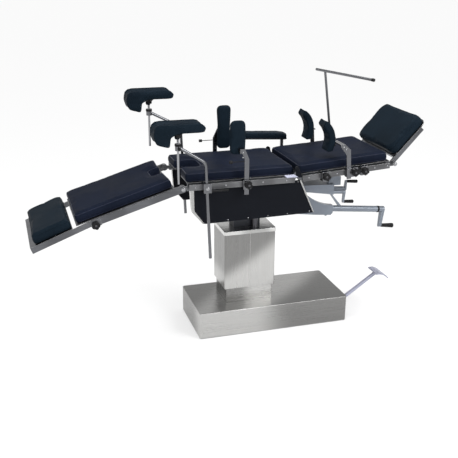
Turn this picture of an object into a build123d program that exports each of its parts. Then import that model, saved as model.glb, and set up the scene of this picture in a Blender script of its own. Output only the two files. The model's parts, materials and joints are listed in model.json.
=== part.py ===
from build123d import *
import os
from math import cos, radians, sin, sqrt, tan

os.makedirs("parts", exist_ok=True)

# Driving dimensions of the whole table, in millimetres. X runs along the table
# to the head end, Y away from the near side and Z up. The origin is on the floor
# under the middle of the lifting column.
base_length = 870
base_width = 404
base_height = 151
base_centre_x = 122
sleeve_length = 270
sleeve_width = 200
sleeve_top = 462
cover_length = 292
cover_width = 222
cover_foot = 240
head_plate_top = 562
tilt_axis_z = 700
table_axis_z = 826
seat_top = 952
seat_foot_x = -387
seat_head_x = 207
pad_half_width = 222
pad_thick = 50
rail_outer = 242
rail_height = 30
rail_thick = 10

# Values that several pieces share.
sheet = 2
overrun = 5
run_gap = 0.05
soft_gap = 0.3
seam_gap = 0.6
deck_thick = 4
beam_thick = 8
beam_height = 40
beam_outer = 215
rail_drop = 2
tube_side = 30
pin_r = 15
pin_head_r = 19
pin_head_thick = 4
lobe_r = 26

deck_top = seat_top - pad_thick
beam_top = deck_top - deck_thick
beam_foot = beam_top - beam_height
rail_inner = rail_outer - rail_thick
rail_mid_z = beam_top - rail_drop - rail_height / 2
beam_inner = beam_outer - beam_thick

# A cushion is made of levels. Each lies at a share of the thickness and is drawn
# in by another: narrow at the foot, full in the middle of the side and rounded
# over at the edge. The last is the crown, drawn in by a share of the half width.
pad_level_shares = (0, 0.14, 0.5, 0.78, 0.9, 0.955, 1)
pad_drawn_shares = (0.1, 0.024, 0, 0.05, 0.14, 0.28)
pad_crown_share = 0.24
pad_corner_r = 12


def side_plane(y):
    """The upright plane at y, with X to the right and Z up."""
    return Plane.XZ.offset(-y)


def section_plane(x, z, rise, y=0):
    """A section of the table top that rises to the head end by an angle."""
    c, s = cos(radians(rise)), sin(radians(rise))
    return Plane(origin=(x, y, z), x_dir=(c, 0, s), z_dir=(-s, 0, c))


def section_side(x, z, rise, y=0):
    """The upright plane of a section: x runs along it and y square to it."""
    c, s = cos(radians(rise)), sin(radians(rise))
    return Plane(origin=(x, y, z), x_dir=(c, 0, s), z_dir=(0, -1, 0))


def across(frame, along, side, height):
    """The plane across a section: x runs outward on one side and y square to the section."""
    origin = frame.from_local_coords((along, 0, height))
    return Plane(origin=origin, x_dir=(0, side, 0), z_dir=frame.x_dir * side)


def cushion(frame, low_x, high_x, half_width, thick, notch=(0, 0, 0), corner=pad_corner_r):
    """A crowned pad on a plane. The notch is its half width, its depth and the end that it opens to."""
    notch_half, notch_deep, notch_end = notch
    middle = (low_x + high_x) / 2
    drawn = [share * thick for share in pad_drawn_shares] + [pad_crown_share * half_width]
    with BuildPart() as pad:
        for share, drawn_in in zip(pad_level_shares, drawn):
            with BuildSketch(frame.offset(share * thick)):
                with Locations((middle, 0)):
                    RectangleRounded(high_x - low_x - 2 * drawn_in, 2 * (half_width - drawn_in), corner)
                if notch_half:
                    mouth = low_x if notch_end < 0 else high_x
                    with Locations((mouth, 0)):
                        RectangleRounded(
                            2 * (notch_deep + drawn_in),
                            2 * (notch_half + drawn_in),
                            notch_half / 2,
                            mode=Mode.SUBTRACT,
                        )
        loft(ruled=True)
    return pad


def star_knob(frame, knob_r, knob_thick, stud_r, stud_length):
    """A five-lobed hand knob on a plane, with its stud going back behind the plane."""
    knob_lobes = 5
    body_share = 0.72
    lobe_share = 0.34
    with BuildSketch(frame) as lobes:
        Circle(knob_r * body_share)
        with PolarLocations(knob_r * (1 - lobe_share), knob_lobes):
            Circle(knob_r * lobe_share)
    extrude(lobes.sketch, amount=knob_thick)
    with BuildSketch(frame) as stud:
        Circle(stud_r)
    extrude(stud.sketch, amount=-stud_length)


# Base cover: one folded stainless box, open below, with a hole for the column
# and a slot for the pedal in its head end.
base_lift = 3
base_corner_r = 12
base_edge_r = 4
column_lip = 6
sleeve_corner_r = 6
pedal_y = -90
pedal_slot_width = 34
pedal_slot_foot = 36
pedal_slot_top = 96
base_head_x = base_centre_x + base_length / 2
base_inner_length = base_length - 2 * sheet
base_inner_width = base_width - 2 * sheet

with BuildPart() as base_cover:
    with BuildSketch(Plane((base_centre_x, 0, base_lift))):
        RectangleRounded(base_length, base_width, base_corner_r)
    extrude(amount=base_height - base_lift)
    fillet(base_cover.edges().group_by(Axis.Z)[-1], base_edge_r)
    offset(amount=-sheet, openings=base_cover.faces().sort_by(Axis.Z)[0])
    with BuildSketch(Plane.XY.offset(base_height)):
        RectangleRounded(sleeve_length - 2 * column_lip, sleeve_width - 2 * column_lip, sleeve_corner_r)
    extrude(amount=-sheet - overrun, mode=Mode.SUBTRACT)
    with BuildSketch(Plane.YZ.offset(base_head_x + overrun)):
        with Locations((pedal_y, (pedal_slot_foot + pedal_slot_top) / 2)):
            RectangleRounded(pedal_slot_width, pedal_slot_top - pedal_slot_foot, base_edge_r)
    extrude(amount=-sheet - 2 * overrun, mode=Mode.SUBTRACT)
base_cover.part.label = "base_cover"
export_step(base_cover.part, "parts/base_cover.step")

# Base chassis: the heavy casting inside the cover. It stands on the floor and
# carries the cylinder block, the pump and the four levelling feet.
chassis_height = 46
foot_r = 18
foot_thick = 8
foot_gap = 2
foot_stud_r = 6
foot_stud_length = 34
foot_inset = 46
pedal_axis_inset = 57
pedal_axis_x = base_head_x - pedal_axis_inset
pedal_axis_z = 62
pedal_hub_r = 16
pedal_hub_width = 24
pedal_clear = 3

chassis_base = Plane((base_centre_x, 0, 0))
foot_pitch_x = base_length - 2 * foot_inset
foot_pitch_y = base_width - 2 * foot_inset

with BuildPart() as base_chassis:
    with BuildSketch(chassis_base):
        RectangleRounded(base_inner_length, base_inner_width, base_corner_r - sheet)
    extrude(amount=chassis_height)
    with BuildSketch(chassis_base):
        with GridLocations(foot_pitch_x, foot_pitch_y, 2, 2):
            Circle(foot_r + foot_gap)
    extrude(amount=foot_thick, mode=Mode.SUBTRACT)
    with BuildSketch(chassis_base):
        with GridLocations(foot_pitch_x, foot_pitch_y, 2, 2):
            Circle(foot_stud_r + run_gap)
    extrude(amount=foot_stud_length + foot_thick, mode=Mode.SUBTRACT)
    notch_foot_x = pedal_axis_x - pedal_hub_r - pedal_clear
    notch_length = base_head_x - notch_foot_x + overrun
    with BuildSketch(Plane((notch_foot_x + notch_length / 2, pedal_y, chassis_height))):
        Rectangle(notch_length, pedal_hub_width + 2 * pedal_clear)
    extrude(amount=-pedal_hub_r, mode=Mode.SUBTRACT)
base_chassis.part.label = "base_chassis"
export_step(base_chassis.part, "parts/base_chassis.step")

with BuildPart() as levelling_feet:
    with BuildSketch(chassis_base):
        with GridLocations(foot_pitch_x, foot_pitch_y, 2, 2):
            Circle(foot_r)
    extrude(amount=foot_thick)
    with BuildSketch(chassis_base.offset(foot_thick)):
        with GridLocations(foot_pitch_x, foot_pitch_y, 2, 2):
            Circle(foot_stud_r)
    extrude(amount=foot_stud_length)
levelling_feet.part.label = "levelling_feet"
export_step(levelling_feet.part, "parts/levelling_feet.step")

# Column sleeve: the fixed stainless tube that stands on the base cover.
with BuildPart() as column_sleeve:
    with BuildSketch(Plane.XY.offset(base_height)):
        RectangleRounded(sleeve_length, sleeve_width, sleeve_corner_r)
        offset(amount=-sheet, mode=Mode.SUBTRACT)
    extrude(amount=sleeve_top - base_height)
column_sleeve.part.label = "column_sleeve"
export_step(column_sleeve.part, "parts/column_sleeve.step")

# Cylinder block: the lifting cylinder in the middle with a guide bore each side.
ram_r = 35
block_wall = 17
rod_r = 14
rod_wall = 8
rod_pitch = 176
block_web = 24
block_floor = 12
block_top = 420

with BuildPart() as cylinder_block:
    with BuildSketch(Plane.XY.offset(chassis_height)):
        Circle(ram_r + block_wall)
        Rectangle(rod_pitch, block_web)
        with GridLocations(rod_pitch, 0, 2, 1):
            Circle(rod_r + rod_wall)
    extrude(amount=block_top - chassis_height)
    with BuildSketch(Plane.XY.offset(chassis_height + block_floor)):
        Circle(ram_r + run_gap)
        with GridLocations(rod_pitch, 0, 2, 1):
            Circle(rod_r + run_gap)
    extrude(amount=block_top - chassis_height, mode=Mode.SUBTRACT)
cylinder_block.part.label = "cylinder_block"
export_step(cylinder_block.part, "parts/cylinder_block.step")

# Pump unit: the oil reservoir, the pump barrel and two lugs for the pedal shaft.
tank_inset = 257
tank_foot_x = base_head_x - tank_inset
tank_head_x = 444
tank_width = 180
tank_centre_y = 20
tank_height = 84
barrel_r = 20
pump_x = tank_head_x + barrel_r / 2
pump_y = -34
lug_thick = 10
lug_gap = 1
section_gap = 1
lug_r = 16
pedal_pin_r = 8

with BuildPart() as pump_unit:
    with BuildSketch(Plane(((tank_foot_x + tank_head_x) / 2, tank_centre_y, chassis_height))):
        RectangleRounded(tank_head_x - tank_foot_x, tank_width, base_corner_r)
    extrude(amount=tank_height)
    with BuildSketch(Plane((pump_x, pump_y, chassis_height))):
        Circle(barrel_r)
    extrude(amount=tank_height + lug_thick)
    for side in (-1, 1):
        lug_y = pedal_y + side * (pedal_hub_width / 2 + lug_gap + lug_thick / 2)
        with BuildSketch(side_plane(lug_y)):
            with Locations((pedal_axis_x, pedal_axis_z)):
                Circle(lug_r)
            with Locations(((tank_head_x + pedal_axis_x) / 2, (chassis_height + pedal_axis_z) / 2)):
                Rectangle(pedal_axis_x - tank_head_x, pedal_axis_z - chassis_height)
            with Locations((pedal_axis_x, (chassis_height + pedal_axis_z) / 2)):
                Rectangle(2 * lug_r, pedal_axis_z - chassis_height)
            with Locations((pedal_axis_x, pedal_axis_z)):
                Circle(pedal_pin_r + run_gap, mode=Mode.SUBTRACT)
        extrude(amount=lug_thick / 2, both=True)
    with BuildSketch(Plane((tank_head_x, pedal_y, chassis_height))):
        Rectangle(2 * lug_r, pedal_hub_width + 2 * (lug_gap + lug_thick))
    extrude(amount=pedal_axis_z - chassis_height)
    with BuildSketch(Plane.XY):
        with Locations((0, 0)):
            Rectangle(2 * base_length, 2 * base_width)
    extrude(amount=chassis_height, mode=Mode.SUBTRACT)
pump_unit.part.label = "pump_unit"
export_step(pump_unit.part, "parts/pump_unit.step")

# Pump pedal: a hub on its shaft, a bar that comes out through the slot and rises
# at a slant, and a curved tread at its end.
bar_exit_z = 68
bar_tip_out = 223
bar_tip_x = base_head_x + bar_tip_out
bar_tip_z = 218
bar_half_root = 10
bar_half_tip = 6
bar_half_width = 8
tread_foot_out = 209
tread_foot_x = base_head_x + tread_foot_out
tread_foot_z = 240
tread_mid_out = 255
tread_mid_x = base_head_x + tread_mid_out
tread_mid_z = 234
tread_head_out = 289
tread_head_x = base_head_x + tread_head_out
tread_head_z = 204
tread_thick = 6
tread_width = 112

with BuildPart() as pump_pedal:
    with BuildSketch(side_plane(pedal_y)):
        with Locations((pedal_axis_x, pedal_axis_z)):
            Circle(pedal_hub_r)
    extrude(amount=pedal_hub_width / 2, both=True)
    with BuildSketch(side_plane(pedal_y)):
        with BuildLine():
            Polyline(
                (pedal_axis_x, pedal_axis_z - bar_half_root),
                (base_head_x, bar_exit_z - bar_half_root),
                (bar_tip_x, bar_tip_z - bar_half_tip),
                (tread_mid_x, tread_mid_z - tread_thick / 2),
                (bar_tip_x, bar_tip_z + 2 * bar_half_tip),
                (base_head_x, bar_exit_z + bar_half_root),
                (pedal_axis_x, pedal_axis_z + bar_half_root),
                close=True,
            )
        make_face()
    extrude(amount=bar_half_width, both=True)
    with BuildSketch(side_plane(pedal_y)):
        with BuildLine():
            ThreePointArc(
                (tread_foot_x, tread_foot_z), (tread_mid_x, tread_mid_z),
                (tread_head_x, tread_head_z),
            )
            Line((tread_head_x, tread_head_z), (tread_head_x - tread_thick, tread_head_z))
            ThreePointArc(
                (tread_head_x - tread_thick, tread_head_z),
                (tread_mid_x - tread_thick / 2, tread_mid_z - tread_thick),
                (tread_foot_x, tread_foot_z - tread_thick),
            )
            Line((tread_foot_x, tread_foot_z - tread_thick), (tread_foot_x, tread_foot_z))
        make_face()
    extrude(amount=tread_width / 2, both=True)
    with BuildSketch(side_plane(pedal_y)):
        with Locations((pedal_axis_x, pedal_axis_z)):
            Circle(pedal_pin_r)
    extrude(amount=pedal_hub_width / 2 + lug_gap + lug_thick, both=True)
pump_pedal.part.label = "pump_pedal"
export_step(pump_pedal.part, "parts/pump_pedal.step")

# Lifting head: the ram and two guide rods under the head plate, and the two
# half covers that hang from the plate and slide down over the sleeve.
ram_foot = 150
head_plate_thick = 12
cover_corner_r = 8
cap_length = 298
cap_width = 228
cap_top = 578
cap_foot = 556
cap_wall = 3
turret_length = 150
turret_width = 88
turret_top = 650
turret_ear_thick = 20
turret_ear_r = 32

head_plate_foot = head_plate_top - head_plate_thick
cover_half_x = cover_length / 2
cover_half_y = cover_width / 2

with BuildPart() as lift_ram:
    with BuildSketch(Plane.XY.offset(ram_foot)):
        Circle(ram_r)
    extrude(amount=head_plate_foot - ram_foot)
lift_ram.part.label = "lift_ram"
export_step(lift_ram.part, "parts/lift_ram.step")

with BuildPart() as guide_rods:
    with BuildSketch(Plane.XY.offset(ram_foot)):
        with GridLocations(rod_pitch, 0, 2, 1):
            Circle(rod_r)
    extrude(amount=head_plate_foot - ram_foot)
guide_rods.part.label = "guide_rods"
export_step(guide_rods.part, "parts/guide_rods.step")

with BuildPart() as column_head_plate:
    with BuildSketch(Plane.XY.offset(head_plate_foot)):
        RectangleRounded(cover_length - 2 * sheet, cover_width - 2 * sheet, cover_corner_r - sheet)
    extrude(amount=head_plate_thick)
column_head_plate.part.label = "column_head_plate"
export_step(column_head_plate.part, "parts/column_head_plate.step")

for side, name in ((-1, "foot_side_cover"), (1, "head_side_cover")):
    with BuildPart() as half_cover:
        with BuildSketch(Plane.XY.offset(cover_foot)):
            RectangleRounded(cover_length, cover_width, cover_corner_r)
            offset(amount=-sheet, mode=Mode.SUBTRACT)
            with Locations((-side * (cover_length - seam_gap) / 2, 0)):
                Rectangle(cover_length, 2 * cover_width, mode=Mode.SUBTRACT)
        extrude(amount=head_plate_top - cover_foot)
    half_cover.part.label = name
    export_step(half_cover.part, f"parts/{name}.step")

with BuildPart() as column_cap:
    with BuildSketch(Plane.XY.offset(cap_foot)):
        RectangleRounded(cap_length, cap_width, cover_corner_r + cap_wall)
    extrude(amount=cap_top - cap_foot)
    fillet(column_cap.edges().group_by(Axis.Z)[-1], base_edge_r)
    with BuildSketch(Plane.XY.offset(cap_foot)):
        RectangleRounded(cover_length + 2 * run_gap, cover_width + 2 * run_gap, cover_corner_r)
    extrude(amount=cap_top - cap_foot - cap_wall, mode=Mode.SUBTRACT)
    with BuildSketch(Plane.XY.offset(cap_top)):
        Rectangle(turret_length + seam_gap, turret_width + seam_gap)
    extrude(amount=-cap_wall - overrun, mode=Mode.SUBTRACT)
column_cap.part.label = "column_cap"
export_step(column_cap.part, "parts/column_cap.step")

# Turret: the block on the head plate, with an ear at each end for the pin on
# which the table top tilts sideways.
with BuildPart() as turret:
    with BuildSketch(Plane.XY.offset(head_plate_top)):
        Rectangle(turret_length, turret_width)
    extrude(amount=turret_top - head_plate_top)
    for side in (-1, 1):
        with BuildSketch(Plane.YZ.offset(side * (turret_length - turret_ear_thick) / 2)):
            with Locations((0, tilt_axis_z)):
                Circle(turret_ear_r)
            with Locations((0, (turret_top + tilt_axis_z) / 2)):
                Rectangle(2 * turret_ear_r, tilt_axis_z - turret_top)
            with Locations((0, tilt_axis_z)):
                Circle(pin_r + run_gap, mode=Mode.SUBTRACT)
        extrude(amount=turret_ear_thick / 2, both=True)
turret.part.label = "turret"
export_step(turret.part, "parts/turret.step")

# Side jack: a short barrel on the cap whose rod pushes on the cradle's wing.
jack_x = 38
jack_y = -64
jack_r = 17
jack_rod_r = 8
jack_rod_gap = 1.6
jack_rod_stroke = 17.5
wing_drop = 8
wing_thick = 16
wing_foot = tilt_axis_z - wing_drop
jack_top_drop = 60
jack_top = wing_foot - jack_top_drop
jack_rod_drop = 93
jack_rod_foot = wing_foot - jack_rod_drop
jack_bore_foot = jack_rod_foot - jack_rod_stroke
jack_rod_top = wing_foot - jack_rod_gap

with BuildPart() as side_jack_barrel:
    with BuildSketch(Plane((jack_x, jack_y, cap_top))):
        Circle(jack_r)
    extrude(amount=jack_top - cap_top)
    with BuildSketch(Plane((jack_x, jack_y, jack_bore_foot))):
        Circle(jack_rod_r + run_gap)
    extrude(amount=jack_top - jack_bore_foot, mode=Mode.SUBTRACT)
side_jack_barrel.part.label = "side_jack_barrel"
export_step(side_jack_barrel.part, "parts/side_jack_barrel.step")

with BuildPart() as side_jack_rod:
    with BuildSketch(Plane((jack_x, jack_y, jack_rod_foot))):
        Circle(jack_rod_r)
    extrude(amount=jack_rod_top - jack_rod_foot)
    fillet(side_jack_rod.edges().group_by(Axis.Z)[-1], jack_rod_r * 3 / 4)
side_jack_rod.part.label = "side_jack_rod"
export_step(side_jack_rod.part, "parts/side_jack_rod.step")

# Tilt cradle: its hub turns on the turret's pin, and its two upper ears hold the
# pin on which the table top tilts head up or head down.
hub_r = 30
hub_side_gap = 1
hub_half = turret_length / 2 - turret_ear_thick - hub_side_gap
wing_half = 14
cradle_web_x = 40
cradle_web_y = 28
cradle_shelf_foot = 780
cradle_shelf_top = 800
cradle_ear_inner = 36
cradle_ear_thick = 20
cradle_ear_x = lobe_r

cradle_ear_outer = cradle_ear_inner + cradle_ear_thick

with BuildPart() as tilt_cradle:
    with BuildSketch(Plane.YZ):
        with Locations((0, tilt_axis_z)):
            Circle(hub_r)
    extrude(amount=hub_half, both=True)
    with BuildSketch(Plane.XY.offset(tilt_axis_z)):
        Rectangle(2 * cradle_web_x, 2 * cradle_web_y)
    extrude(amount=cradle_shelf_top - tilt_axis_z)
    with BuildSketch(Plane.XY.offset(cradle_shelf_foot)):
        Rectangle(2 * cradle_web_x, 2 * cradle_ear_outer)
    extrude(amount=cradle_shelf_top - cradle_shelf_foot)
    for side in (-1, 1):
        with BuildSketch(side_plane(side * (cradle_ear_inner + cradle_ear_outer) / 2)):
            with Locations((0, table_axis_z)):
                Circle(lobe_r)
            with Locations((0, (cradle_shelf_foot + table_axis_z) / 2)):
                Rectangle(2 * cradle_ear_x, table_axis_z - cradle_shelf_foot)
        extrude(amount=cradle_ear_thick / 2, both=True)
    with BuildSketch(Plane((jack_x, jack_y / 2, wing_foot))):
        Rectangle(2 * wing_half, -jack_y + 2 * jack_rod_r)
    extrude(amount=wing_thick)
    with BuildSketch(Plane.YZ):
        with Locations((0, tilt_axis_z)):
            Circle(pin_r + run_gap)
    extrude(amount=turret_length, both=True, mode=Mode.SUBTRACT)
    with BuildSketch(side_plane(0)):
        with Locations((0, table_axis_z)):
            Circle(pin_r + run_gap)
    extrude(amount=cradle_ear_outer + overrun, both=True, mode=Mode.SUBTRACT)
tilt_cradle.part.label = "tilt_cradle"
export_step(tilt_cradle.part, "parts/tilt_cradle.step")

# The two pins, each with a flat head at both ends.
hanger_inner = 60
hanger_thick = 10
hanger_outer = hanger_inner + hanger_thick

with BuildPart() as cradle_pins:
    with BuildSketch(Plane.YZ):
        with Locations((0, tilt_axis_z)):
            Circle(pin_r)
    extrude(amount=turret_length / 2 + soft_gap + pin_head_thick, both=True)
    with BuildSketch(side_plane(0)):
        with Locations((0, table_axis_z)):
            Circle(pin_r)
    extrude(amount=hanger_outer + soft_gap + pin_head_thick, both=True)
    for side in (-1, 1):
        with BuildSketch(Plane.YZ.offset(side * (turret_length / 2 + soft_gap))):
            with Locations((0, tilt_axis_z)):
                Circle(pin_head_r)
        extrude(amount=side * pin_head_thick)
        with BuildSketch(side_plane(side * (hanger_outer + soft_gap))):
            with Locations((0, table_axis_z)):
                Circle(pin_head_r)
        extrude(amount=-side * pin_head_thick)
cradle_pins.part.label = "cradle_pins"
export_step(cradle_pins.part, "parts/cradle_pins.step")

# Table-tilt sector: part of a gear fixed to the cradle, round the pin. The worm
# of the big crank runs under it, so the top tilts as the worm climbs along it.
sector_y = -104
sector_thick = 16
sector_r = 108
sector_inner_r = 84
sector_half_angle = 40
sector_teeth = 16
tooth_pitch_angle = 5
tooth_depth = 5
tooth_cut_r = 2.6
worm_gap = 0.5
worm_r = 12
shaft_fall = 5.9
spoke_foot_x = -30
spoke_head_x = 10
spoke_foot = 736
spoke_top = 775
bracket_foot = 745

worm_from_axis = sector_r + worm_gap + worm_r
quarter_turn = 90
sector_middle = -quarter_turn - shaft_fall
pie_reach = 2 * sector_r

with BuildPart() as table_tilt_sector:
    with BuildSketch(Plane(origin=(0, sector_y, table_axis_z), x_dir=(1, 0, 0), z_dir=(0, -1, 0))):
        Circle(sector_r)
        Circle(sector_inner_r, mode=Mode.SUBTRACT)
        with PolarLocations(sector_r, 360 // tooth_pitch_angle, start_angle=sector_middle):
            Rectangle(2 * tooth_depth, 2 * tooth_cut_r, mode=Mode.SUBTRACT)
        with BuildLine():
            Polyline(
                (0, 0),
                (
                    pie_reach * cos(radians(sector_middle - sector_half_angle)),
                    pie_reach * sin(radians(sector_middle - sector_half_angle)),
                ),
                (pie_reach * cos(radians(sector_middle)), pie_reach * sin(radians(sector_middle))),
                (
                    pie_reach * cos(radians(sector_middle + sector_half_angle)),
                    pie_reach * sin(radians(sector_middle + sector_half_angle)),
                ),
                close=True,
            )
        make_face(mode=Mode.INTERSECT)
    extrude(amount=sector_thick / 2, both=True)
    with BuildSketch(side_plane(sector_y)):
        with Locations(((spoke_foot_x + spoke_head_x) / 2, (spoke_foot + spoke_top) / 2)):
            Rectangle(spoke_head_x - spoke_foot_x, spoke_top - spoke_foot)
    extrude(amount=sector_thick / 2, both=True)
    with BuildSketch(side_plane(-cradle_web_y)):
        with Locations(((spoke_foot_x + spoke_head_x) / 2, (bracket_foot + spoke_top) / 2)):
            Rectangle(spoke_head_x - spoke_foot_x, spoke_top - bracket_foot)
    extrude(amount=-sector_y - cradle_web_y)
table_tilt_sector.part.label = "table_tilt_sector"
export_step(table_tilt_sector.part, "parts/table_tilt_sector.step")

# Seat frame: two side beams, three cross tubes, the deck under the pad, the
# hanger plates on the tilt pin, and the hinge ears at both ends.
beam_foot_x = -376
beam_head_x = 202
seat_tube_x = (-258, -120, 100)
deck_half_width = 218
notch_half = 70
notch_deep = 110
deck_notch_more = 4
leg_axis_x = -402
leg_axis_z = 874
leg_lobe_r = 18
leg_pin_r = 8
back_axis_x = 212
back_axis_drop = 15
ear_inner = 223
ear_thick = 5
ear_lobe_r = 12
ear_pin_r = 6
ear_gap = 1
ear_root = 22
ear_root_half = 10
spacer_r = 7
spacer_z = 884
spacer_x = (-340, -180, 20, 150)

back_axis_z = seat_top - back_axis_drop
ear_outer = ear_inner + ear_thick
back_ear_inner = ear_outer + ear_gap
back_ear_outer = back_ear_inner + ear_thick
tube_drop = beam_height - tube_side
tube_half_span = beam_inner

with BuildPart() as seat_frame:
    for side in (-1, 1):
        with BuildSketch(side_plane(side * (beam_inner + beam_thick / 2))):
            with Locations(((beam_foot_x + beam_head_x) / 2, (beam_foot + beam_top) / 2)):
                Rectangle(beam_head_x - beam_foot_x, beam_height)
            with Locations(((beam_foot_x + leg_axis_x) / 2, leg_axis_z)):
                Rectangle(beam_foot_x - leg_axis_x + overrun, leg_lobe_r)
            with Locations((leg_axis_x, leg_axis_z)):
                Circle(leg_lobe_r)
                Circle(leg_pin_r + run_gap, mode=Mode.SUBTRACT)
        extrude(amount=beam_thick / 2, both=True)
        for x in spacer_x:
            with BuildSketch(Plane(origin=(x, side * beam_outer, spacer_z), z_dir=(0, side, 0))):
                Circle(spacer_r)
            extrude(amount=rail_inner - beam_outer)
        with BuildSketch(side_plane(side * (ear_inner + ear_thick / 2))):
            with BuildLine():
                Polyline(
                    (beam_head_x - ear_root, rail_mid_z - ear_root_half),
                    (beam_head_x, rail_mid_z - ear_root_half),
                    (back_axis_x + ear_lobe_r, back_axis_z),
                    (back_axis_x - ear_lobe_r, back_axis_z),
                    (beam_head_x - ear_root, rail_mid_z + ear_root_half),
                    close=True,
                )
            make_face()
            with Locations((back_axis_x, back_axis_z)):
                Circle(ear_lobe_r)
        extrude(amount=ear_thick / 2, both=True)
        with BuildSketch(side_plane(side * (beam_outer + ear_inner) / 2)):
            with Locations((beam_head_x - ear_root / 2, rail_mid_z)):
                Rectangle(ear_root, 2 * ear_root_half)
        extrude(amount=(ear_inner - beam_outer) / 2, both=True)
        with BuildSketch(Plane(origin=(back_axis_x, side * ear_outer, back_axis_z), z_dir=(0, side, 0))):
            Circle(ear_pin_r)
        extrude(amount=back_ear_outer - ear_outer + ear_gap)
    for x in seat_tube_x:
        with BuildSketch(Plane(origin=(x, 0, beam_top - tube_side / 2), z_dir=(0, 1, 0))):
            Rectangle(tube_side, tube_side)
        extrude(amount=tube_half_span, both=True)
    for side in (-1, 1):
        with BuildSketch(side_plane(side * (hanger_inner + hanger_thick / 2))):
            with BuildLine():
                Polyline(
                    (seat_tube_x[1] + tube_side / 2, beam_top),
                    (seat_tube_x[1] + tube_side / 2, beam_top - tube_side),
                    (-lobe_r, table_axis_z),
                    (lobe_r, table_axis_z),
                    (seat_tube_x[2] - tube_side / 2, beam_top - tube_side),
                    (seat_tube_x[2] - tube_side / 2, beam_top),
                    close=True,
                )
            make_face()
            with Locations((0, table_axis_z)):
                Circle(lobe_r)
                Circle(pin_r + run_gap, mode=Mode.SUBTRACT)
        extrude(amount=hanger_thick / 2, both=True)
    with BuildSketch(Plane.XY.offset(beam_top)):
        with Locations(((beam_foot_x + beam_head_x) / 2, 0)):
            Rectangle(beam_head_x - beam_foot_x, 2 * deck_half_width)
        with Locations((seat_foot_x, 0)):
            Rectangle(
                2 * (notch_deep + deck_notch_more), 2 * (notch_half + deck_notch_more), mode=Mode.SUBTRACT
            )
    extrude(amount=deck_thick)
seat_frame.part.label = "seat_frame"
export_step(seat_frame.part, "parts/seat_frame.step")

# Seat rails: the standard side rails that accessories clamp to.
seat_rail_foot_x = -372
seat_rail_head_x = 196

with BuildPart() as seat_rails:
    for side in (-1, 1):
        with BuildSketch(side_plane(side * (rail_inner + rail_thick / 2))):
            with Locations(((seat_rail_foot_x + seat_rail_head_x) / 2, rail_mid_z)):
                Rectangle(seat_rail_head_x - seat_rail_foot_x, rail_height)
        extrude(amount=rail_thick / 2, both=True)
seat_rails.part.label = "seat_rails"
export_step(seat_rails.part, "parts/seat_rails.step")

seat_pad = cushion(
    Plane.XY.offset(deck_top), seat_foot_x, seat_head_x, pad_half_width,
    pad_thick, (notch_half, notch_deep, -1)
)
seat_pad.part.label = "seat_pad"
export_step(seat_pad.part, "parts/seat_pad.step")

# Side skirts: a black plate under each side of the seat that hides the tilt drive.
skirt_top_foot_x = -362
skirt_top_head_x = 243
skirt_foot_x = -353
skirt_low_foot_x = -295
skirt_low_head_x = 323
skirt_top = 870
skirt_step_z = 744
skirt_low_foot_z = 673
skirt_low_head_z = 682
skirt_corner_r = 30
skirt_mid_x = (skirt_top_foot_x + skirt_top_head_x) / 2

with BuildPart() as side_skirts:
    for side in (-1, 1):
        with BuildSketch(side_plane(side * (beam_outer + sheet / 2))):
            with BuildLine():
                FilletPolyline(
                    (skirt_mid_x, skirt_top),
                    (skirt_top_foot_x, skirt_top),
                    (skirt_foot_x, skirt_step_z),
                    (skirt_low_foot_x, skirt_low_foot_z),
                    (skirt_low_head_x, skirt_low_head_z),
                    (skirt_top_head_x, skirt_top),
                    radius=(sheet, skirt_corner_r, skirt_corner_r, sheet),
                    close=False,
                )
                Line((skirt_top_head_x, skirt_top), (skirt_mid_x, skirt_top))
            make_face()
        extrude(amount=sheet / 2, both=True)
side_skirts.part.label = "side_skirts"
export_step(side_skirts.part, "parts/side_skirts.step")

# Tilt drive: the worm under the sector, the arm that holds it and the long
# shaft out to the big crank. Places along the shaft count from the worm's middle.
arm_y_out = -122
arm_y_in = -86
cheek_thick = 5
worm_half = 30
worm_root_r = 9.5
worm_groove = 4.7
worm_pitch = 9.42
big_shaft_r = 10
house_half = 48
house_wall = 12
house_floor = -22
house_side_top = 14
house_floor_thick = 8
arm_end = 494
arm_end_half = 21
tube_r = 17.5
tube_bore_r = 14
tube_bush = 24
tube_end = 786
boss_r = 9
boss_half = 6
strut_half = 8
strut_width = 20

# The arm's outline past the worm housing, as shares of its end along and square
# to the shaft: the step under the seat, the hollow upper edge and the belly.
arm_step_shares = ((0.126, 0.045), (0.182, 0.102), (0.218, 0.144), (0.518, 0.157), (0.682, 0.145))
arm_hollow_share = (0.832, 0.069)
arm_belly_shares = ((0.979, -0.068), (0.793, -0.069))
boss_shares = (0.93, -0.068)

worm_x = -worm_from_axis * sin(radians(shaft_fall))
worm_z = table_axis_z - worm_from_axis * cos(radians(shaft_fall))
shaft_line = section_side(worm_x, worm_z, -shaft_fall, sector_y)


def on_shaft(along, up):
    """X and Z of a point given along the big shaft and square to it."""
    place = shaft_line.from_local_coords((along, up, 0))
    return place.X, place.Z


def arm_point(shares):
    """X and Z of a point of the arm's outline."""
    return on_shaft(shares[0] * arm_end, shares[1] * arm_end)


def cross(line, along):
    """The plane across a shaft line at a place along it, with its y up."""
    return Plane(origin=line.from_local_coords((along, 0, 0)), x_dir=(0, 1, 0), z_dir=line.x_dir)


tube_low = beam_top - tube_side
cheek_foot_x = seat_tube_x[1] + tube_side / 2
cheek_head_x = seat_tube_x[2] - tube_side / 2
arm_y = (arm_y_out + arm_y_in) / 2
arm_thick = arm_y_in - arm_y_out

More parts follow.
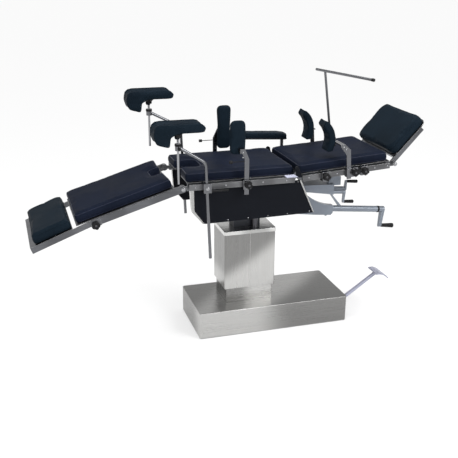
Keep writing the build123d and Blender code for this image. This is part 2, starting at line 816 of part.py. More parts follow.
with BuildPart() as lower_arm:
    with BuildSketch(side_plane(arm_y_out + cheek_thick)):
        with BuildLine():
            Polyline(
                (cheek_foot_x, beam_top),
                (cheek_foot_x, tube_low),
                on_shaft(-house_half, house_side_top),
                on_shaft(-house_half, house_floor),
                on_shaft(house_half, house_floor),
                on_shaft(house_half + 3 * house_wall, 2 * house_side_top),
                (cheek_head_x, tube_low),
                (cheek_head_x, beam_top),
                close=True,
            )
        make_face()
    extrude(amount=cheek_thick)
    with BuildSketch(side_plane(arm_y_in)):
        with BuildLine():
            Polyline(
                on_shaft(-house_half, house_floor),
                on_shaft(house_half, house_floor),
                on_shaft(house_half, house_side_top),
                on_shaft(-house_half, house_side_top),
                close=True,
            )
        make_face()
    extrude(amount=arm_thick)
    with BuildSketch(side_plane(arm_y_in - cheek_thick)):
        with BuildLine():
            Polyline(
                on_shaft(house_wall - house_half, house_floor + house_floor_thick),
                on_shaft(house_half - house_wall, house_floor + house_floor_thick),
                on_shaft(house_half - house_wall, house_side_top + overrun),
                on_shaft(house_wall - house_half, house_side_top + overrun),
                close=True,
            )
        make_face()
    extrude(amount=arm_thick - 2 * cheek_thick, mode=Mode.SUBTRACT)
    with BuildSketch(side_plane(arm_y_in)):
        with BuildLine():
            Polyline(
                on_shaft(house_half - house_wall, house_floor),
                on_shaft(house_half - house_wall, house_side_top),
                on_shaft(house_half, house_side_top),
                *[arm_point(shares) for shares in arm_step_shares],
            )
            ThreePointArc(
                arm_point(arm_step_shares[-1]), arm_point(arm_hollow_share), on_shaft(arm_end, arm_end_half)
            )
            Polyline(
                on_shaft(arm_end, arm_end_half),
                on_shaft(arm_end, -arm_end_half),
                *[arm_point(shares) for shares in arm_belly_shares],
                on_shaft(house_half - house_wall, house_floor),
            )
        make_face()
    extrude(amount=arm_thick)
    with BuildSketch(side_plane(arm_y)):
        with Locations(arm_point(boss_shares)):
            Circle(boss_r)
    extrude(amount=boss_half, both=True)
    with BuildSketch(cross(shaft_line, -house_half - overrun)):
        Circle(big_shaft_r + run_gap)
    extrude(amount=arm_end + house_half + 2 * overrun, mode=Mode.SUBTRACT)
# Upper arm: the casting under the head end of the seat. Its gearbox end carries
# the shafts of the back crank and of the side-tilt crank.
upper_y_out = -126
upper_y_in = -60
gearbox_y_in = -6
upper_root_width = 43
upper_root_foot = 790
upper_reach = 476
upper_end_top = 800
upper_end_foot = 742
gearbox_length = 146
gearbox_foot_x = upper_reach - gearbox_length
gearbox_low_z = 766
gearbox_top_z = 807
lug_inside = 36
lug_outside = 46
lug_foot_x = upper_reach - lug_inside
lug_head_x = upper_reach + lug_outside
lug_top_foot = 848
lug_top_head = 838
lug_low = 790
lug_half = 6
back_shaft_y = sector_y
back_shaft_z = 752.5
back_shaft_fall = 4.3
side_shaft_y = -20
side_shaft_z = 748
side_shaft_fall = 4.8
small_shaft_r = 8
small_tube_r = 12
shaft_seat = 100

upper_root_x = cheek_head_x
upper_root_head_x = upper_root_x + upper_root_width
back_shaft = section_side(upper_reach, back_shaft_z, -back_shaft_fall, back_shaft_y)
side_shaft = section_side(upper_reach, side_shaft_z, -side_shaft_fall, side_shaft_y)

with BuildPart() as upper_arm:
    with BuildSketch(side_plane(upper_y_in)):
        with BuildLine():
            Polyline(
                (upper_root_x, upper_root_foot),
                (gearbox_foot_x, gearbox_low_z),
                (upper_reach, upper_end_foot),
                (upper_reach, upper_end_top),
                (gearbox_foot_x, gearbox_top_z),
                (upper_root_head_x, gearbox_top_z + overrun),
                (upper_root_head_x - overrun, tube_low),
                (upper_root_x, tube_low),
                close=True,
            )
        make_face()
    extrude(amount=upper_y_in - upper_y_out)
    with BuildSketch(side_plane(gearbox_y_in)):
        with BuildLine():
            Polyline(
                (gearbox_foot_x, gearbox_low_z),
                (upper_reach, upper_end_foot),
                (upper_reach, upper_end_top),
                (gearbox_foot_x, gearbox_top_z),
                close=True,
            )
        make_face()
    extrude(amount=gearbox_y_in - upper_y_in)
    with BuildSketch(side_plane(back_shaft_y)):
        with BuildLine():
            Polyline(
                (lug_foot_x, upper_end_foot + lug_half),
                (lug_foot_x, upper_end_top),
                (upper_reach, lug_top_foot),
                (lug_head_x, lug_top_head),
                (lug_head_x, lug_low),
                (upper_reach + lug_half, lug_low),
                (upper_reach, upper_end_foot + lug_half),
                close=True,
            )
        make_face()
    extrude(amount=lug_half, both=True)
    for line in (back_shaft, side_shaft):
        with BuildSketch(cross(line, -shaft_seat)):
            Circle(small_shaft_r + run_gap)
        extrude(amount=2 * shaft_seat, mode=Mode.SUBTRACT)
upper_arm.part.label = "upper_arm"
export_step(upper_arm.part, "parts/upper_arm.step")

# The strut between the upper arm's foot and the big tube, one more piece of the lower arm.
strut_past_arm = 32
strut_foot_along = arm_end + strut_past_arm
strut_inset = 16
strut_top_x = upper_reach - strut_inset
strut_shoulder_x = upper_reach + section_gap
strut_shoulder_z = 734
strut_top_z = upper_end_foot + (upper_reach - strut_top_x) * (gearbox_low_z - upper_end_foot) / (
    upper_reach - gearbox_foot_x
)

with lower_arm:
    with BuildSketch(side_plane(back_shaft_y)):
        with BuildLine():
            Polyline(
                (strut_top_x, strut_top_z - soft_gap),
                (upper_reach, upper_end_foot - soft_gap),
                (strut_shoulder_x, strut_shoulder_z),
                on_shaft(strut_foot_along + strut_width, tube_r + soft_gap),
                on_shaft(strut_foot_along, tube_r + soft_gap),
                close=True,
            )
        make_face()
    extrude(amount=strut_half, both=True)
lower_arm.part.label = "lower_arm"
export_step(lower_arm.part, "parts/lower_arm.step")

# Shaft tubes: the long one for the big crank and two short ones on the gearbox.
tube_start_gap = 1.5
back_tube_length = 55
side_tube_length = 101

with BuildPart() as shaft_tubes:
    with BuildSketch(cross(shaft_line, arm_end)):
        Circle(tube_r)
        Circle(tube_bore_r, mode=Mode.SUBTRACT)
    extrude(amount=tube_end - arm_end - tube_bush)
    with BuildSketch(cross(shaft_line, tube_end - tube_bush)):
        Circle(tube_r)
        Circle(big_shaft_r + run_gap, mode=Mode.SUBTRACT)
    extrude(amount=tube_bush)
    for line, length in ((back_shaft, back_tube_length), (side_shaft, side_tube_length)):
        with BuildSketch(cross(line, tube_start_gap)):
            Circle(small_tube_r)
            Circle(small_shaft_r + run_gap, mode=Mode.SUBTRACT)
        extrude(amount=length)
shaft_tubes.part.label = "shaft_tubes"
export_step(shaft_tubes.part, "parts/shaft_tubes.step")


def crank(line, shaft_from, hub_from, sizes, direction):
    """A crank on a shaft line: shaft, hub, tapered arm and a loose grip on a stud.

    The sizes are the shaft's radius, the hub's radius and length, the arm's length,
    its half width at the tip and its thickness, and the grip's length and two radii.
    """
    shaft_r, hub_r, hub_length, arm_length, tip_half, arm_thin, grip_length, grip_r, grip_end_r = sizes
    hub_to = hub_from + hub_length
    with BuildPart() as piece:
        with BuildSketch(cross(line, shaft_from)):
            Circle(shaft_r)
        extrude(amount=hub_to - shaft_from)
        with BuildSketch(cross(line, hub_from)):
            Circle(hub_r)
        extrude(amount=hub_length)
        with BuildSketch(cross(line, hub_to - arm_thin)):
            with BuildLine():
                Polyline(
                    (-hub_r, 0),
                    (-tip_half, direction * arm_length),
                    (tip_half, direction * arm_length),
                    (hub_r, 0),
                    close=True,
                )
            make_face()
            with Locations((0, direction * arm_length)):
                Circle(tip_half)
        extrude(amount=arm_thin)
        with BuildSketch(cross(line, hub_to)):
            with Locations((0, direction * arm_length)):
                Circle(grip_r / 2)
        extrude(amount=grip_length - grip_end_r)
        with BuildSketch(cross(line, hub_to + soft_gap)):
            with Locations((0, direction * arm_length)):
                Circle(grip_r)
        with BuildSketch(cross(line, hub_to + grip_length)):
            with Locations((0, direction * arm_length)):
                Circle(grip_end_r)
        grip = loft(mode=Mode.PRIVATE)
        with BuildSketch(cross(line, hub_to)):
            with Locations((0, direction * arm_length)):
                Circle(grip_r / 2 + run_gap)
        bore = extrude(amount=grip_length - grip_end_r / 2, mode=Mode.PRIVATE)
        add(grip - bore)
    return piece


# The three cranks. The big one turns the worm, the other two the gearbox shafts.
big_crank_sizes = (10, 17.5, 30, 97, 9, 18, 76, 9, 12.5)
back_crank_sizes = (8, 11, 20, 57, 7, 10, 56, 7.5, 9)
side_crank_sizes = (8, 11, 18, 42, 7, 10, 64, 7.5, 9)

big_crank = crank(shaft_line, -house_half, tube_end + tube_start_gap, big_crank_sizes, -1)
with BuildPart() as table_tilt_crank:
    add(big_crank.part)
    with BuildSketch(cross(shaft_line, -worm_half)):
        Circle(worm_r)
    extrude(amount=2 * worm_half)
    for groove in range(-2, 4):
        with BuildSketch(cross(shaft_line, (groove - 0.5) * worm_pitch - worm_groove / 2)):
            Circle(worm_r + overrun)
            Circle(worm_root_r, mode=Mode.SUBTRACT)
        extrude(amount=worm_groove, mode=Mode.SUBTRACT)
table_tilt_crank.part.label = "table_tilt_crank"
export_step(table_tilt_crank.part, "parts/table_tilt_crank.step")

hub_gap = 2 * tube_start_gap
back_crank = crank(back_shaft, overrun - shaft_seat, back_tube_length + hub_gap, back_crank_sizes, -1)
back_crank.part.label = "back_crank"
export_step(back_crank.part, "parts/back_crank.step")

side_tilt_crank = crank(side_shaft, overrun - shaft_seat, side_tube_length + hub_gap, side_crank_sizes, 1)
side_tilt_crank.part.label = "side_tilt_crank"
export_step(side_tilt_crank.part, "parts/side_tilt_crank.step")

# Back section: its frame, deck, rails and pad, on the axis at the height of the
# pads' upper edges. Heights square to the section count from that axis.
back_rise = 4
pad_gap = 5
back_length = 539
back_frame_from = 12
back_beam_outer = beam_outer - section_gap
back_end_tube = 39
back_tube_at = (30, 205, back_length - back_end_tube)
back_rail_from = 25
back_rail_short = 9
last_spacer = 15
spacer_pitch = 75
back_rail_to = back_length - back_rail_short
back_last_spacer = back_rail_to - last_spacer
back_spacer_at = (60, 220, back_last_spacer - spacer_pitch, back_last_spacer)
back_root_half = 6
head_axis_gap = 28
head_axis_at = back_length + head_axis_gap
head_axis_drop = 55
head_lobe_r = 14
head_pin_r = 7

back = section_plane(back_axis_x, back_axis_z, back_rise)
back_side = section_side(back_axis_x, back_axis_z, back_rise)
back_pad_low = back_axis_drop - pad_thick
back_deck_low = back_pad_low - deck_thick
back_beam_low = back_deck_low - beam_height
back_rail_mid = back_deck_low - rail_drop - rail_height / 2
back_beam_inner = back_beam_outer - beam_thick

with BuildPart() as back_frame:
    for side in (-1, 1):
        with BuildSketch(back_side.offset(-side * (back_beam_inner + beam_thick / 2))):
            with Locations(((back_frame_from + back_length) / 2, (back_beam_low + back_deck_low) / 2)):
                Rectangle(back_length - back_frame_from, beam_height)
            with Locations(((back_length + head_axis_at) / 2, -head_axis_drop)):
                Rectangle(head_axis_at - back_length, 2 * head_lobe_r)
            with Locations((head_axis_at, -head_axis_drop)):
                Circle(head_lobe_r)
                Circle(head_pin_r + run_gap, mode=Mode.SUBTRACT)
        extrude(amount=beam_thick / 2, both=True)
        for along in back_spacer_at:
            with BuildSketch(across(back, along, side, back_rail_mid)):
                with Locations(((back_beam_outer + rail_inner) / 2, 0)):
                    Rectangle(rail_inner - back_beam_outer, 2 * spacer_r)
            extrude(amount=spacer_r, both=True)
        ear_low = back_rail_mid - back_root_half
        ear_high = back_rail_mid + back_root_half
        with BuildSketch(back_side.offset(-side * (back_ear_inner + ear_thick / 2))):
            with BuildLine():
                Polyline(
                    (back_frame_from, ear_low),
                    (back_rail_from, ear_low),
                    (back_rail_from, ear_high),
                    (ear_lobe_r, 0),
                    (-ear_lobe_r, 0),
                    (0, ear_high),
                    close=True,
                )
            make_face()
            with Locations((0, 0)):
                Circle(ear_lobe_r)
                Circle(ear_pin_r + run_gap, mode=Mode.SUBTRACT)
        extrude(amount=ear_thick / 2, both=True)
        with BuildSketch(across(back, (back_frame_from + back_rail_from) / 2, side, back_rail_mid)):
            with Locations(((back_beam_outer + back_ear_outer) / 2, 0)):
                Rectangle(back_ear_outer - back_beam_outer, 2 * back_root_half)
        extrude(amount=(back_rail_from - back_frame_from) / 2, both=True)
    for along in back_tube_at:
        with BuildSketch(across(back, along, 1, back_deck_low - tube_side / 2)):
            Rectangle(2 * back_beam_inner, tube_side)
        extrude(amount=tube_side / 2, both=True)
    with BuildSketch(back.offset(back_deck_low)):
        with Locations(((back_frame_from + back_length) / 2, 0)):
            Rectangle(back_length - back_frame_from, 2 * deck_half_width)
    extrude(amount=deck_thick)
back_frame.part.label = "back_frame"
export_step(back_frame.part, "parts/back_frame.step")

with BuildPart() as back_rails:
    for side in (-1, 1):
        with BuildSketch(back_side.offset(-side * (rail_inner + rail_thick / 2))):
            with Locations(((back_rail_from + back_rail_to) / 2, back_rail_mid)):
                Rectangle(back_rail_to - back_rail_from, rail_height)
        extrude(amount=rail_thick / 2, both=True)
back_rails.part.label = "back_rails"
export_step(back_rails.part, "parts/back_rails.step")

back_pad = cushion(back.offset(back_pad_low), pad_gap, back_length, pad_half_width, pad_thick)
back_pad.part.label = "back_pad"
export_step(back_pad.part, "parts/back_pad.step")

# Head section: two arms on the back frame's last lobes, a deck and a rounded pad.
head_rise = 47
head_pad_from = 28
head_pad_to = 290
head_pad_low = 20
head_arm_low = -10
head_pad_corner = 45
head_half_width = 215
head_arm_gap = 2
head_arm_thick = 10

head_place = back_side.from_local_coords((head_axis_at, -head_axis_drop, 0))
head = section_plane(head_place.X, head_place.Z, head_rise)
head_side = section_side(head_place.X, head_place.Z, head_rise)
head_arm_outer = back_beam_inner - head_arm_gap
head_arm_mid = head_arm_outer - head_arm_thick / 2
head_deck_low = head_pad_low - deck_thick
head_frame_to = head_pad_to - head_pad_corner

with BuildPart() as head_frame:
    for side in (-1, 1):
        with BuildSketch(head_side.offset(-side * head_arm_mid)):
            Circle(head_lobe_r)
            with Locations((head_frame_to / 2, (head_arm_low + head_deck_low) / 2)):
                Rectangle(head_frame_to, head_deck_low - head_arm_low)
        extrude(amount=head_arm_thick / 2, both=True)
        pin_start = head_place + Vector(0, side * (head_arm_outer - head_arm_gap), 0)
        with BuildSketch(Plane(origin=pin_start, z_dir=(0, side, 0))):
            Circle(head_pin_r)
        extrude(amount=back_beam_outer - head_arm_outer + 2 * head_arm_gap)
    for along in (head_pad_from + tube_side / 2, head_frame_to - tube_side / 2):
        with BuildSketch(across(head, along, 1, (head_arm_low + head_deck_low) / 2)):
            Rectangle(2 * head_arm_mid, head_deck_low - head_arm_low)
        extrude(amount=tube_side / 2, both=True)
    with BuildSketch(head.offset(head_deck_low)):
        with Locations(((head_pad_from + head_pad_to) / 2, 0)):
            RectangleRounded(
                head_pad_to - head_pad_from - 2 * deck_thick,
                2 * (head_half_width - deck_thick), head_pad_corner
            )
    extrude(amount=deck_thick)
head_frame.part.label = "head_frame"
export_step(head_frame.part, "parts/head_frame.step")

head_pad = cushion(
    head.offset(head_pad_low), head_pad_from, head_pad_to, head_half_width, pad_thick, corner=head_pad_corner
)
head_pad.part.label = "head_pad"
export_step(head_pad.part, "parts/head_pad.step")

# Leg section: two channels open inward, their hinge blocks and end blocks, two
# cross tubes and the deck. Along the section x is negative towards the foot.
leg_fall = 17
channel_outer = 232
channel_inner = 214
channel_web = 4
channel_flange = 3
channel_low = -17
channel_top = 18
channel_to = 440
end_block_to = 492
end_block_low = -20
end_block_outer = 234
leg_hinge_to = 30
leg_pad_from = 38
leg_pad_to = 560
leg_pad_low = 22
leg_notch_half = 55
leg_notch_deep = 60
leg_tube_at = (124, 400)
leg_tube_side = 20
leg_pad_corner = 16

leg = section_plane(leg_axis_x, leg_axis_z, leg_fall)
leg_side = section_side(leg_axis_x, leg_axis_z, leg_fall)
leg_hinge_inner = beam_outer + section_gap
bar_outer = channel_outer - channel_web - channel_flange
bar_thick = 6
bar_low = channel_low + channel_flange + soft_gap
bar_top = channel_top - channel_flange - soft_gap
bar_inner = bar_outer - bar_thick

foot_knob_at = 470
foot_knob_height = -10
knob_stud_r = 5

with BuildPart() as leg_frame:
    for side in (-1, 1):
        channel_mid = (channel_low + channel_top) / 2
        with BuildSketch(across(leg, -(leg_hinge_to + channel_to) / 2, side, channel_mid)):
            with Locations(((channel_inner + channel_outer) / 2, 0)):
                Rectangle(channel_outer - channel_inner, channel_top - channel_low)
            with Locations(((channel_inner + channel_outer) / 2 - channel_web, 0)):
                Rectangle(
                    channel_outer - channel_inner,
                    channel_top - channel_low - 2 * channel_flange,
                    mode=Mode.SUBTRACT,
                )
        extrude(amount=(channel_to - leg_hinge_to) / 2, both=True)
        with BuildSketch(leg_side.offset(-side * (leg_hinge_inner + channel_outer) / 2)):
            Circle(leg_lobe_r)
            with Locations((-leg_hinge_to / 2, (channel_low + channel_top) / 2)):
                Rectangle(leg_hinge_to, channel_top - channel_low)
        extrude(amount=(channel_outer - leg_hinge_inner) / 2, both=True)
        pin_start = Vector(leg_axis_x, side * leg_hinge_inner, leg_axis_z)
        with BuildSketch(Plane(origin=pin_start, z_dir=(0, side, 0))):
            Circle(leg_pin_r)
        extrude(amount=-(leg_hinge_inner - beam_inner + section_gap))
        with BuildSketch(
            across(leg, -(channel_to + end_block_to) / 2, side, (end_block_low + channel_top) / 2)
        ):
            with Locations(((channel_inner + end_block_outer) / 2, 0)):
                Rectangle(end_block_outer - channel_inner, channel_top - end_block_low)
        extrude(amount=(end_block_to - channel_to) / 2, both=True)
        with BuildSketch(across(leg, -(channel_to + end_block_to) / 2, side, (bar_low + bar_top) / 2)):
            with Locations(((bar_inner + bar_outer) / 2, 0)):
                Rectangle(bar_thick + 2 * soft_gap, bar_top - bar_low + 2 * soft_gap)
        extrude(amount=end_block_to - channel_to, both=True, mode=Mode.SUBTRACT)
        stud_start = leg.from_local_coords((-foot_knob_at, side * end_block_outer, foot_knob_height))
        with BuildSketch(Plane(origin=stud_start, z_dir=(0, side, 0))):
            Circle(knob_stud_r + run_gap)
        extrude(amount=bar_inner - end_block_outer, mode=Mode.SUBTRACT)
    for along in leg_tube_at:
        with BuildSketch(across(leg, -along, 1, channel_top - leg_tube_side / 2)):
            Rectangle(2 * channel_inner, leg_tube_side)
        extrude(amount=leg_tube_side / 2, both=True)
    with BuildSketch(leg.offset(channel_top)):
        with Locations((-(leg_pad_from + leg_pad_to) / 2, 0)):
            Rectangle(leg_pad_to - leg_pad_from, 2 * (channel_outer - channel_web))
        with Locations((-leg_pad_from, 0)):
            Rectangle(
                2 * (leg_notch_deep + deck_notch_more),
                2 * (leg_notch_half + deck_notch_more), mode=Mode.SUBTRACT
            )
    extrude(amount=leg_pad_low - channel_top)
leg_frame.part.label = "leg_frame"
export_step(leg_frame.part, "parts/leg_frame.step")

leg_pad = cushion(
    leg.offset(leg_pad_low), -leg_pad_to, -leg_pad_from, pad_half_width, pad_thick,
    (leg_notch_half, leg_notch_deep, 1), leg_pad_corner,
)
leg_pad.part.label = "leg_pad"
export_step(leg_pad.part, "parts/leg_pad.step")

# Foot section: flat bars that slide in the channels and bend down a little past
# the end blocks, with a cross bar, a deck and the small foot pad.
bar_from = 180
bend_at = 500
foot_bend = 4.3
foot_reach = 300
foot_pad_near = 80
foot_pad_far = 284
foot_end_thick = 6

foot_place = leg_side.from_local_coords((-bend_at, (bar_low + bar_top) / 2, 0))
foot = section_plane(foot_place.X, foot_place.Z, leg_fall + foot_bend)
foot_side = section_side(foot_place.X, foot_place.Z, leg_fall + foot_bend)
foot_bar_half = (bar_top - bar_low) / 2
foot_bar_mitre = foot_bar_half * tan(radians(foot_bend / 2))
foot_deck_low = foot_bar_half
foot_pad_low = foot_deck_low + deck_thick


def past_bend(along, up):
    """A point of the foot section in the side plane of the leg section."""
    place = leg_side.to_local_coords(foot_side.from_local_coords((along, up, 0)))
    return place.X, place.Y


with BuildPart() as foot_frame:
    for side in (-1, 1):
        bar_y = side * (bar_inner + bar_thick / 2)
        with BuildSketch(leg_side.offset(-bar_y)):
            with BuildLine():
                Polyline(
                    (-bar_from, bar_low),
                    past_bend(foot_bar_mitre, -foot_bar_half),
                    past_bend(-foot_reach, -foot_bar_half),
                    past_bend(-foot_reach, foot_bar_half),
                    past_bend(-foot_bar_mitre, foot_bar_half),
                    (-bar_from, bar_top),
                    close=True,
                )
            make_face()
        extrude(amount=bar_thick / 2, both=True)
    with BuildSketch(across(foot, -foot_reach, 1, deck_thick / 2)):
        Rectangle(2 * bar_outer, 2 * foot_bar_half + deck_thick)
    extrude(amount=-foot_end_thick)
    with BuildSketch(foot.offset(foot_deck_low)):
        with Locations((-(foot_pad_near + foot_reach) / 2, 0)):
            Rectangle(foot_reach - foot_pad_near, 2 * bar_outer)
    extrude(amount=deck_thick)
foot_frame.part.label = "foot_frame"
export_step(foot_frame.part, "parts/foot_frame.step")

foot_pad = cushion(
    foot.offset(foot_pad_low), -foot_pad_far, -foot_pad_near, pad_half_width, pad_thick, corner=leg_pad_corner
)
foot_pad.part.label = "foot_pad"
export_step(foot_pad.part, "parts/foot_pad.step")

# Rail clamps: hooked blocks on the side rails. A block is as deep as what it holds.
hook_inner = 229
hook_half_height = 24
hook_mouth_half = 9
clamp_half = 20
rod_clamp_outer = 278
strap_clamp_outer = 264
strap_thick = 6
strap_width = 24
strap_inner = 248
knob_r = 21.5
knob_thick = 18

strap_mid = strap_inner + strap_thick / 2


def rail_hook(frame, along, side, height, half_length, outer):
    """A clamp block round a rail, open at the back past the rail's spacers."""
    with BuildSketch(across(frame, along, side, height)) as hook:
        with Locations(((hook_inner + outer) / 2, 0)):
            Rectangle(outer - hook_inner, 2 * hook_half_height)
        with Locations((rail_inner + rail_thick / 2, 0)):
            Rectangle(rail_thick, rail_height, mode=Mode.SUBTRACT)
        with Locations((rail_inner, 0)):
            Rectangle(2 * (rail_inner - hook_inner) + overrun, 2 * hook_mouth_half, mode=Mode.SUBTRACT)
    extrude(hook.sketch, amount=half_length, both=True)


def strap_slot(frame, along, side, height):
    """The upright slot in a clamp block for a flat strap."""
    with BuildSketch(frame.offset(height - hook_half_height - overrun)) as slot:
        with Locations((along, side * strap_mid)):
            Rectangle(strap_width + 2 * run_gap, strap_thick + 2 * run_gap)
    extrude(slot.sketch, amount=2 * (hook_half_height + overrun), mode=Mode.SUBTRACT)


def knob_plane(frame, along, side, height, out):
    """The plane of a clamp's knob, facing away from the table."""
    return Plane(origin=frame.from_local_coords((along, side * out, height)), z_dir=(0, side, 0))


# Places of the accessories on the seat rails. The leg crutches' rods lean a little
# to the foot end, and the far one is set higher.
crutch_clamp_x = -286
crutch_y = 262
crutch_lean = 2.5
crutch_rod_r = 8
near_side_x = -73
far_side_x = -100
lever_length = 92
lever_drop = 18
lever_r = 5

seat_ground = Plane.XY
lean_dir = (-sin(radians(crutch_lean)), 0, cos(radians(crutch_lean)))

with BuildPart() as seat_rail_clamps:
    for side, side_x in ((-1, near_side_x), (1, far_side_x)):
        rail_hook(seat_ground, crutch_clamp_x, side, rail_mid_z, clamp_half, rod_clamp_outer)
        with BuildSketch(Plane(origin=(crutch_clamp_x, side * crutch_y, rail_mid_z), z_dir=lean_dir)):
            Circle(crutch_rod_r + run_gap)
        extrude(amount=hook_half_height + overrun, both=True, mode=Mode.SUBTRACT)
        lever_z = rail_mid_z - lever_drop
        lever_at = (crutch_clamp_x + clamp_half, side * (crutch_y + overrun), lever_z)
        with BuildSketch(Plane(origin=lever_at, z_dir=(1, 0, 0))):
            Circle(lever_r)
        extrude(amount=lever_length)
        rail_hook(seat_ground, side_x, side, rail_mid_z, clamp_half, strap_clamp_outer)
        strap_slot(seat_ground, side_x, side, rail_mid_z)
        star_knob(
            knob_plane(seat_ground, side_x + clamp_half / 4, side, rail_mid_z, strap_clamp_outer + soft_gap),
            knob_r, knob_thick, knob_stud_r, soft_gap,
        )
seat_rail_clamps.part.label = "seat_rail_clamps"
export_step(seat_rail_clamps.part, "parts/seat_rail_clamps.step")

# Clamps on the back rails: one with its own hand knob near the seat, two for each
# shoulder support and one for the screen's pole.
knob_clamp_at = 148
shoulder_clamp_at = 300
shoulder_clamp_half = 32
shoulder_strap_at = 284
shoulder_knob_at = 312
second_clamp_at = 369
screen_clamp_at = 408
screen_y = 262
screen_lean = 7.7
screen_pole_r = 7

screen_place = back_side.from_local_coords((screen_clamp_at, back_rail_mid, 0))
screen_ground = section_plane(screen_place.X, screen_place.Z, screen_lean, screen_y)

with BuildPart() as back_rail_clamps:
    rail_hook(back, knob_clamp_at, -1, back_rail_mid, clamp_half, strap_clamp_outer)
    with BuildSketch(knob_plane(back, knob_clamp_at, -1, back_rail_mid, strap_clamp_outer)):
        Circle(knob_stud_r + run_gap)
    extrude(amount=-(strap_clamp_outer - rail_outer), mode=Mode.SUBTRACT)
    for side in (-1, 1):
        rail_hook(back, shoulder_clamp_at, side, back_rail_mid, shoulder_clamp_half, strap_clamp_outer)
        strap_slot(back, shoulder_strap_at, side, back_rail_mid)
        star_knob(
            knob_plane(back, shoulder_knob_at, side, back_rail_mid, strap_clamp_outer),
            knob_r, knob_thick, knob_stud_r, overrun,
        )
    rail_hook(back, second_clamp_at, -1, back_rail_mid, clamp_half, strap_clamp_outer)
    star_knob(
        knob_plane(back, second_clamp_at, -1, back_rail_mid, strap_clamp_outer),
        knob_r, knob_thick, knob_stud_r, overrun,
    )
    rail_hook(back, screen_clamp_at, 1, back_rail_mid, clamp_half, rod_clamp_outer)
    with BuildSketch(screen_ground):
        Circle(screen_pole_r + run_gap)
    extrude(amount=2 * hook_half_height, both=True, mode=Mode.SUBTRACT)
back_rail_clamps.part.label = "back_rail_clamps"
export_step(back_rail_clamps.part, "parts/back_rail_clamps.step")

# Hand knobs that turn: one on the near back clamp and one on each foot channel.
knob_stand = 0.5

with BuildPart() as back_knob:
    star_knob(
        knob_plane(back, knob_clamp_at, -1, back_rail_mid, strap_clamp_outer + knob_stand),
        knob_r, knob_thick, knob_stud_r, strap_clamp_outer - rail_outer,
    )
back_knob.part.label = "back_knob"
export_step(back_knob.part, "parts/back_knob.step")

for side, name in ((-1, "near_foot_knob"), (1, "far_foot_knob")):
    with BuildPart() as foot_knob:
        star_knob(
            knob_plane(leg, -foot_knob_at, side, foot_knob_height, end_block_outer + knob_stand),
            knob_r, knob_thick, knob_stud_r, end_block_outer - bar_outer,
        )
    foot_knob.part.label = name
    export_step(foot_knob.part, f"parts/{name}.step")

# Leg crutches: a bent rod through the clamp, an upright post through the rod's
# collar, and a padded saddle that swivels on the post.
rod_bend_r = 45
collar_r = 15
collar_half = 18
post_r = 6
post_below = 189
post_above = 60
saddle_length = 268
saddle_half_width = 58
saddle_boss_r = 15
saddle_boss_drop = 4
saddle_bore = 20
trough_r = 105
trough_deep = 20
saddle_outline_shares = (
    (0.47, 0.075), (0.5, 0.16), (0.43, 0.24), (0.26, 0.3), (-0.38, 0.265), (-0.47, 0.19),
    (-0.49, 0.04), (-0.44, -0.12), (-0.2, -0.2), (-0.17, -0.02), (-0.07, 0.045), (0.05, 0.06),
)
near_crutch = ("near", -1, 499, 1011, -432, 1102)
far_crutch = ("far", 1, 579, 1086, -470, 1178)

for name, side, rod_foot_z, bend_z, collar_x, collar_z in (near_crutch, far_crutch):
    rod_foot_x = crutch_clamp_x + (rail_mid_z - rod_foot_z) * tan(radians(crutch_lean))
    bend_x = crutch_clamp_x - (bend_z - rail_mid_z) * tan(radians(crutch_lean))
    with BuildPart() as crutch_rod:
        with BuildLine(side_plane(side * crutch_y)) as rod_path:
            FilletPolyline(
                (rod_foot_x, rod_foot_z), (bend_x, bend_z), (collar_x, collar_z), radius=rod_bend_r
            )
        with BuildSketch(Plane(origin=rod_path.line @ 0, z_dir=rod_path.line % 0)):
            Circle(crutch_rod_r)
        sweep()
        with BuildSketch(Plane((collar_x, side * crutch_y, collar_z))):
            Circle(collar_r)
        extrude(amount=collar_half, both=True)
        with BuildSketch(Plane((collar_x, side * crutch_y, collar_z))):
            Circle(post_r + run_gap)
        extrude(amount=2 * collar_half, both=True, mode=Mode.SUBTRACT)
    crutch_rod.part.label = f"{name}_crutch_rod"
    export_step(crutch_rod.part, f"parts/{name}_crutch_rod.step")

    with BuildPart() as crutch_post:
        with BuildSketch(Plane((collar_x, side * crutch_y, collar_z - post_below))):
            Circle(post_r)
        extrude(amount=post_below + post_above)
    crutch_post.part.label = f"{name}_crutch_post"
    export_step(crutch_post.part, f"parts/{name}_crutch_post.step")

    saddle_z = collar_z + post_above
    with BuildPart() as crutch_saddle:
        saddle_at = (collar_x, side * crutch_y, saddle_z)
        with BuildSketch(Plane(origin=saddle_at, x_dir=(1, 0, 0), z_dir=(0, -1, 0))):
            with BuildLine():
                Polyline(
                    *[(along * saddle_length, up * saddle_length) for along, up in saddle_outline_shares],
                    close=True,
                )
            make_face()
        extrude(amount=saddle_half_width, both=True)
        crown_z = saddle_z + saddle_outline_shares[4][1] * saddle_length + trough_r - trough_deep
        with BuildSketch(Plane(origin=(collar_x, side * crutch_y, crown_z), z_dir=(1, 0, 0))):
            Circle(trough_r)
        extrude(amount=saddle_length, both=True, mode=Mode.SUBTRACT)
        with BuildSketch(Plane((collar_x, side * crutch_y, saddle_z - saddle_bore))):
            Circle(saddle_boss_r)
        extrude(amount=saddle_bore + 2 * saddle_boss_r)
        with BuildSketch(Plane((collar_x, side * crutch_y, saddle_z - saddle_bore))):
            Circle(post_r + run_gap)
        extrude(amount=saddle_bore + soft_gap, mode=Mode.SUBTRACT)
    crutch_saddle.part.label = f"{name}_crutch_saddle"
    export_step(crutch_saddle.part, f"parts/{name}_crutch_saddle.step")

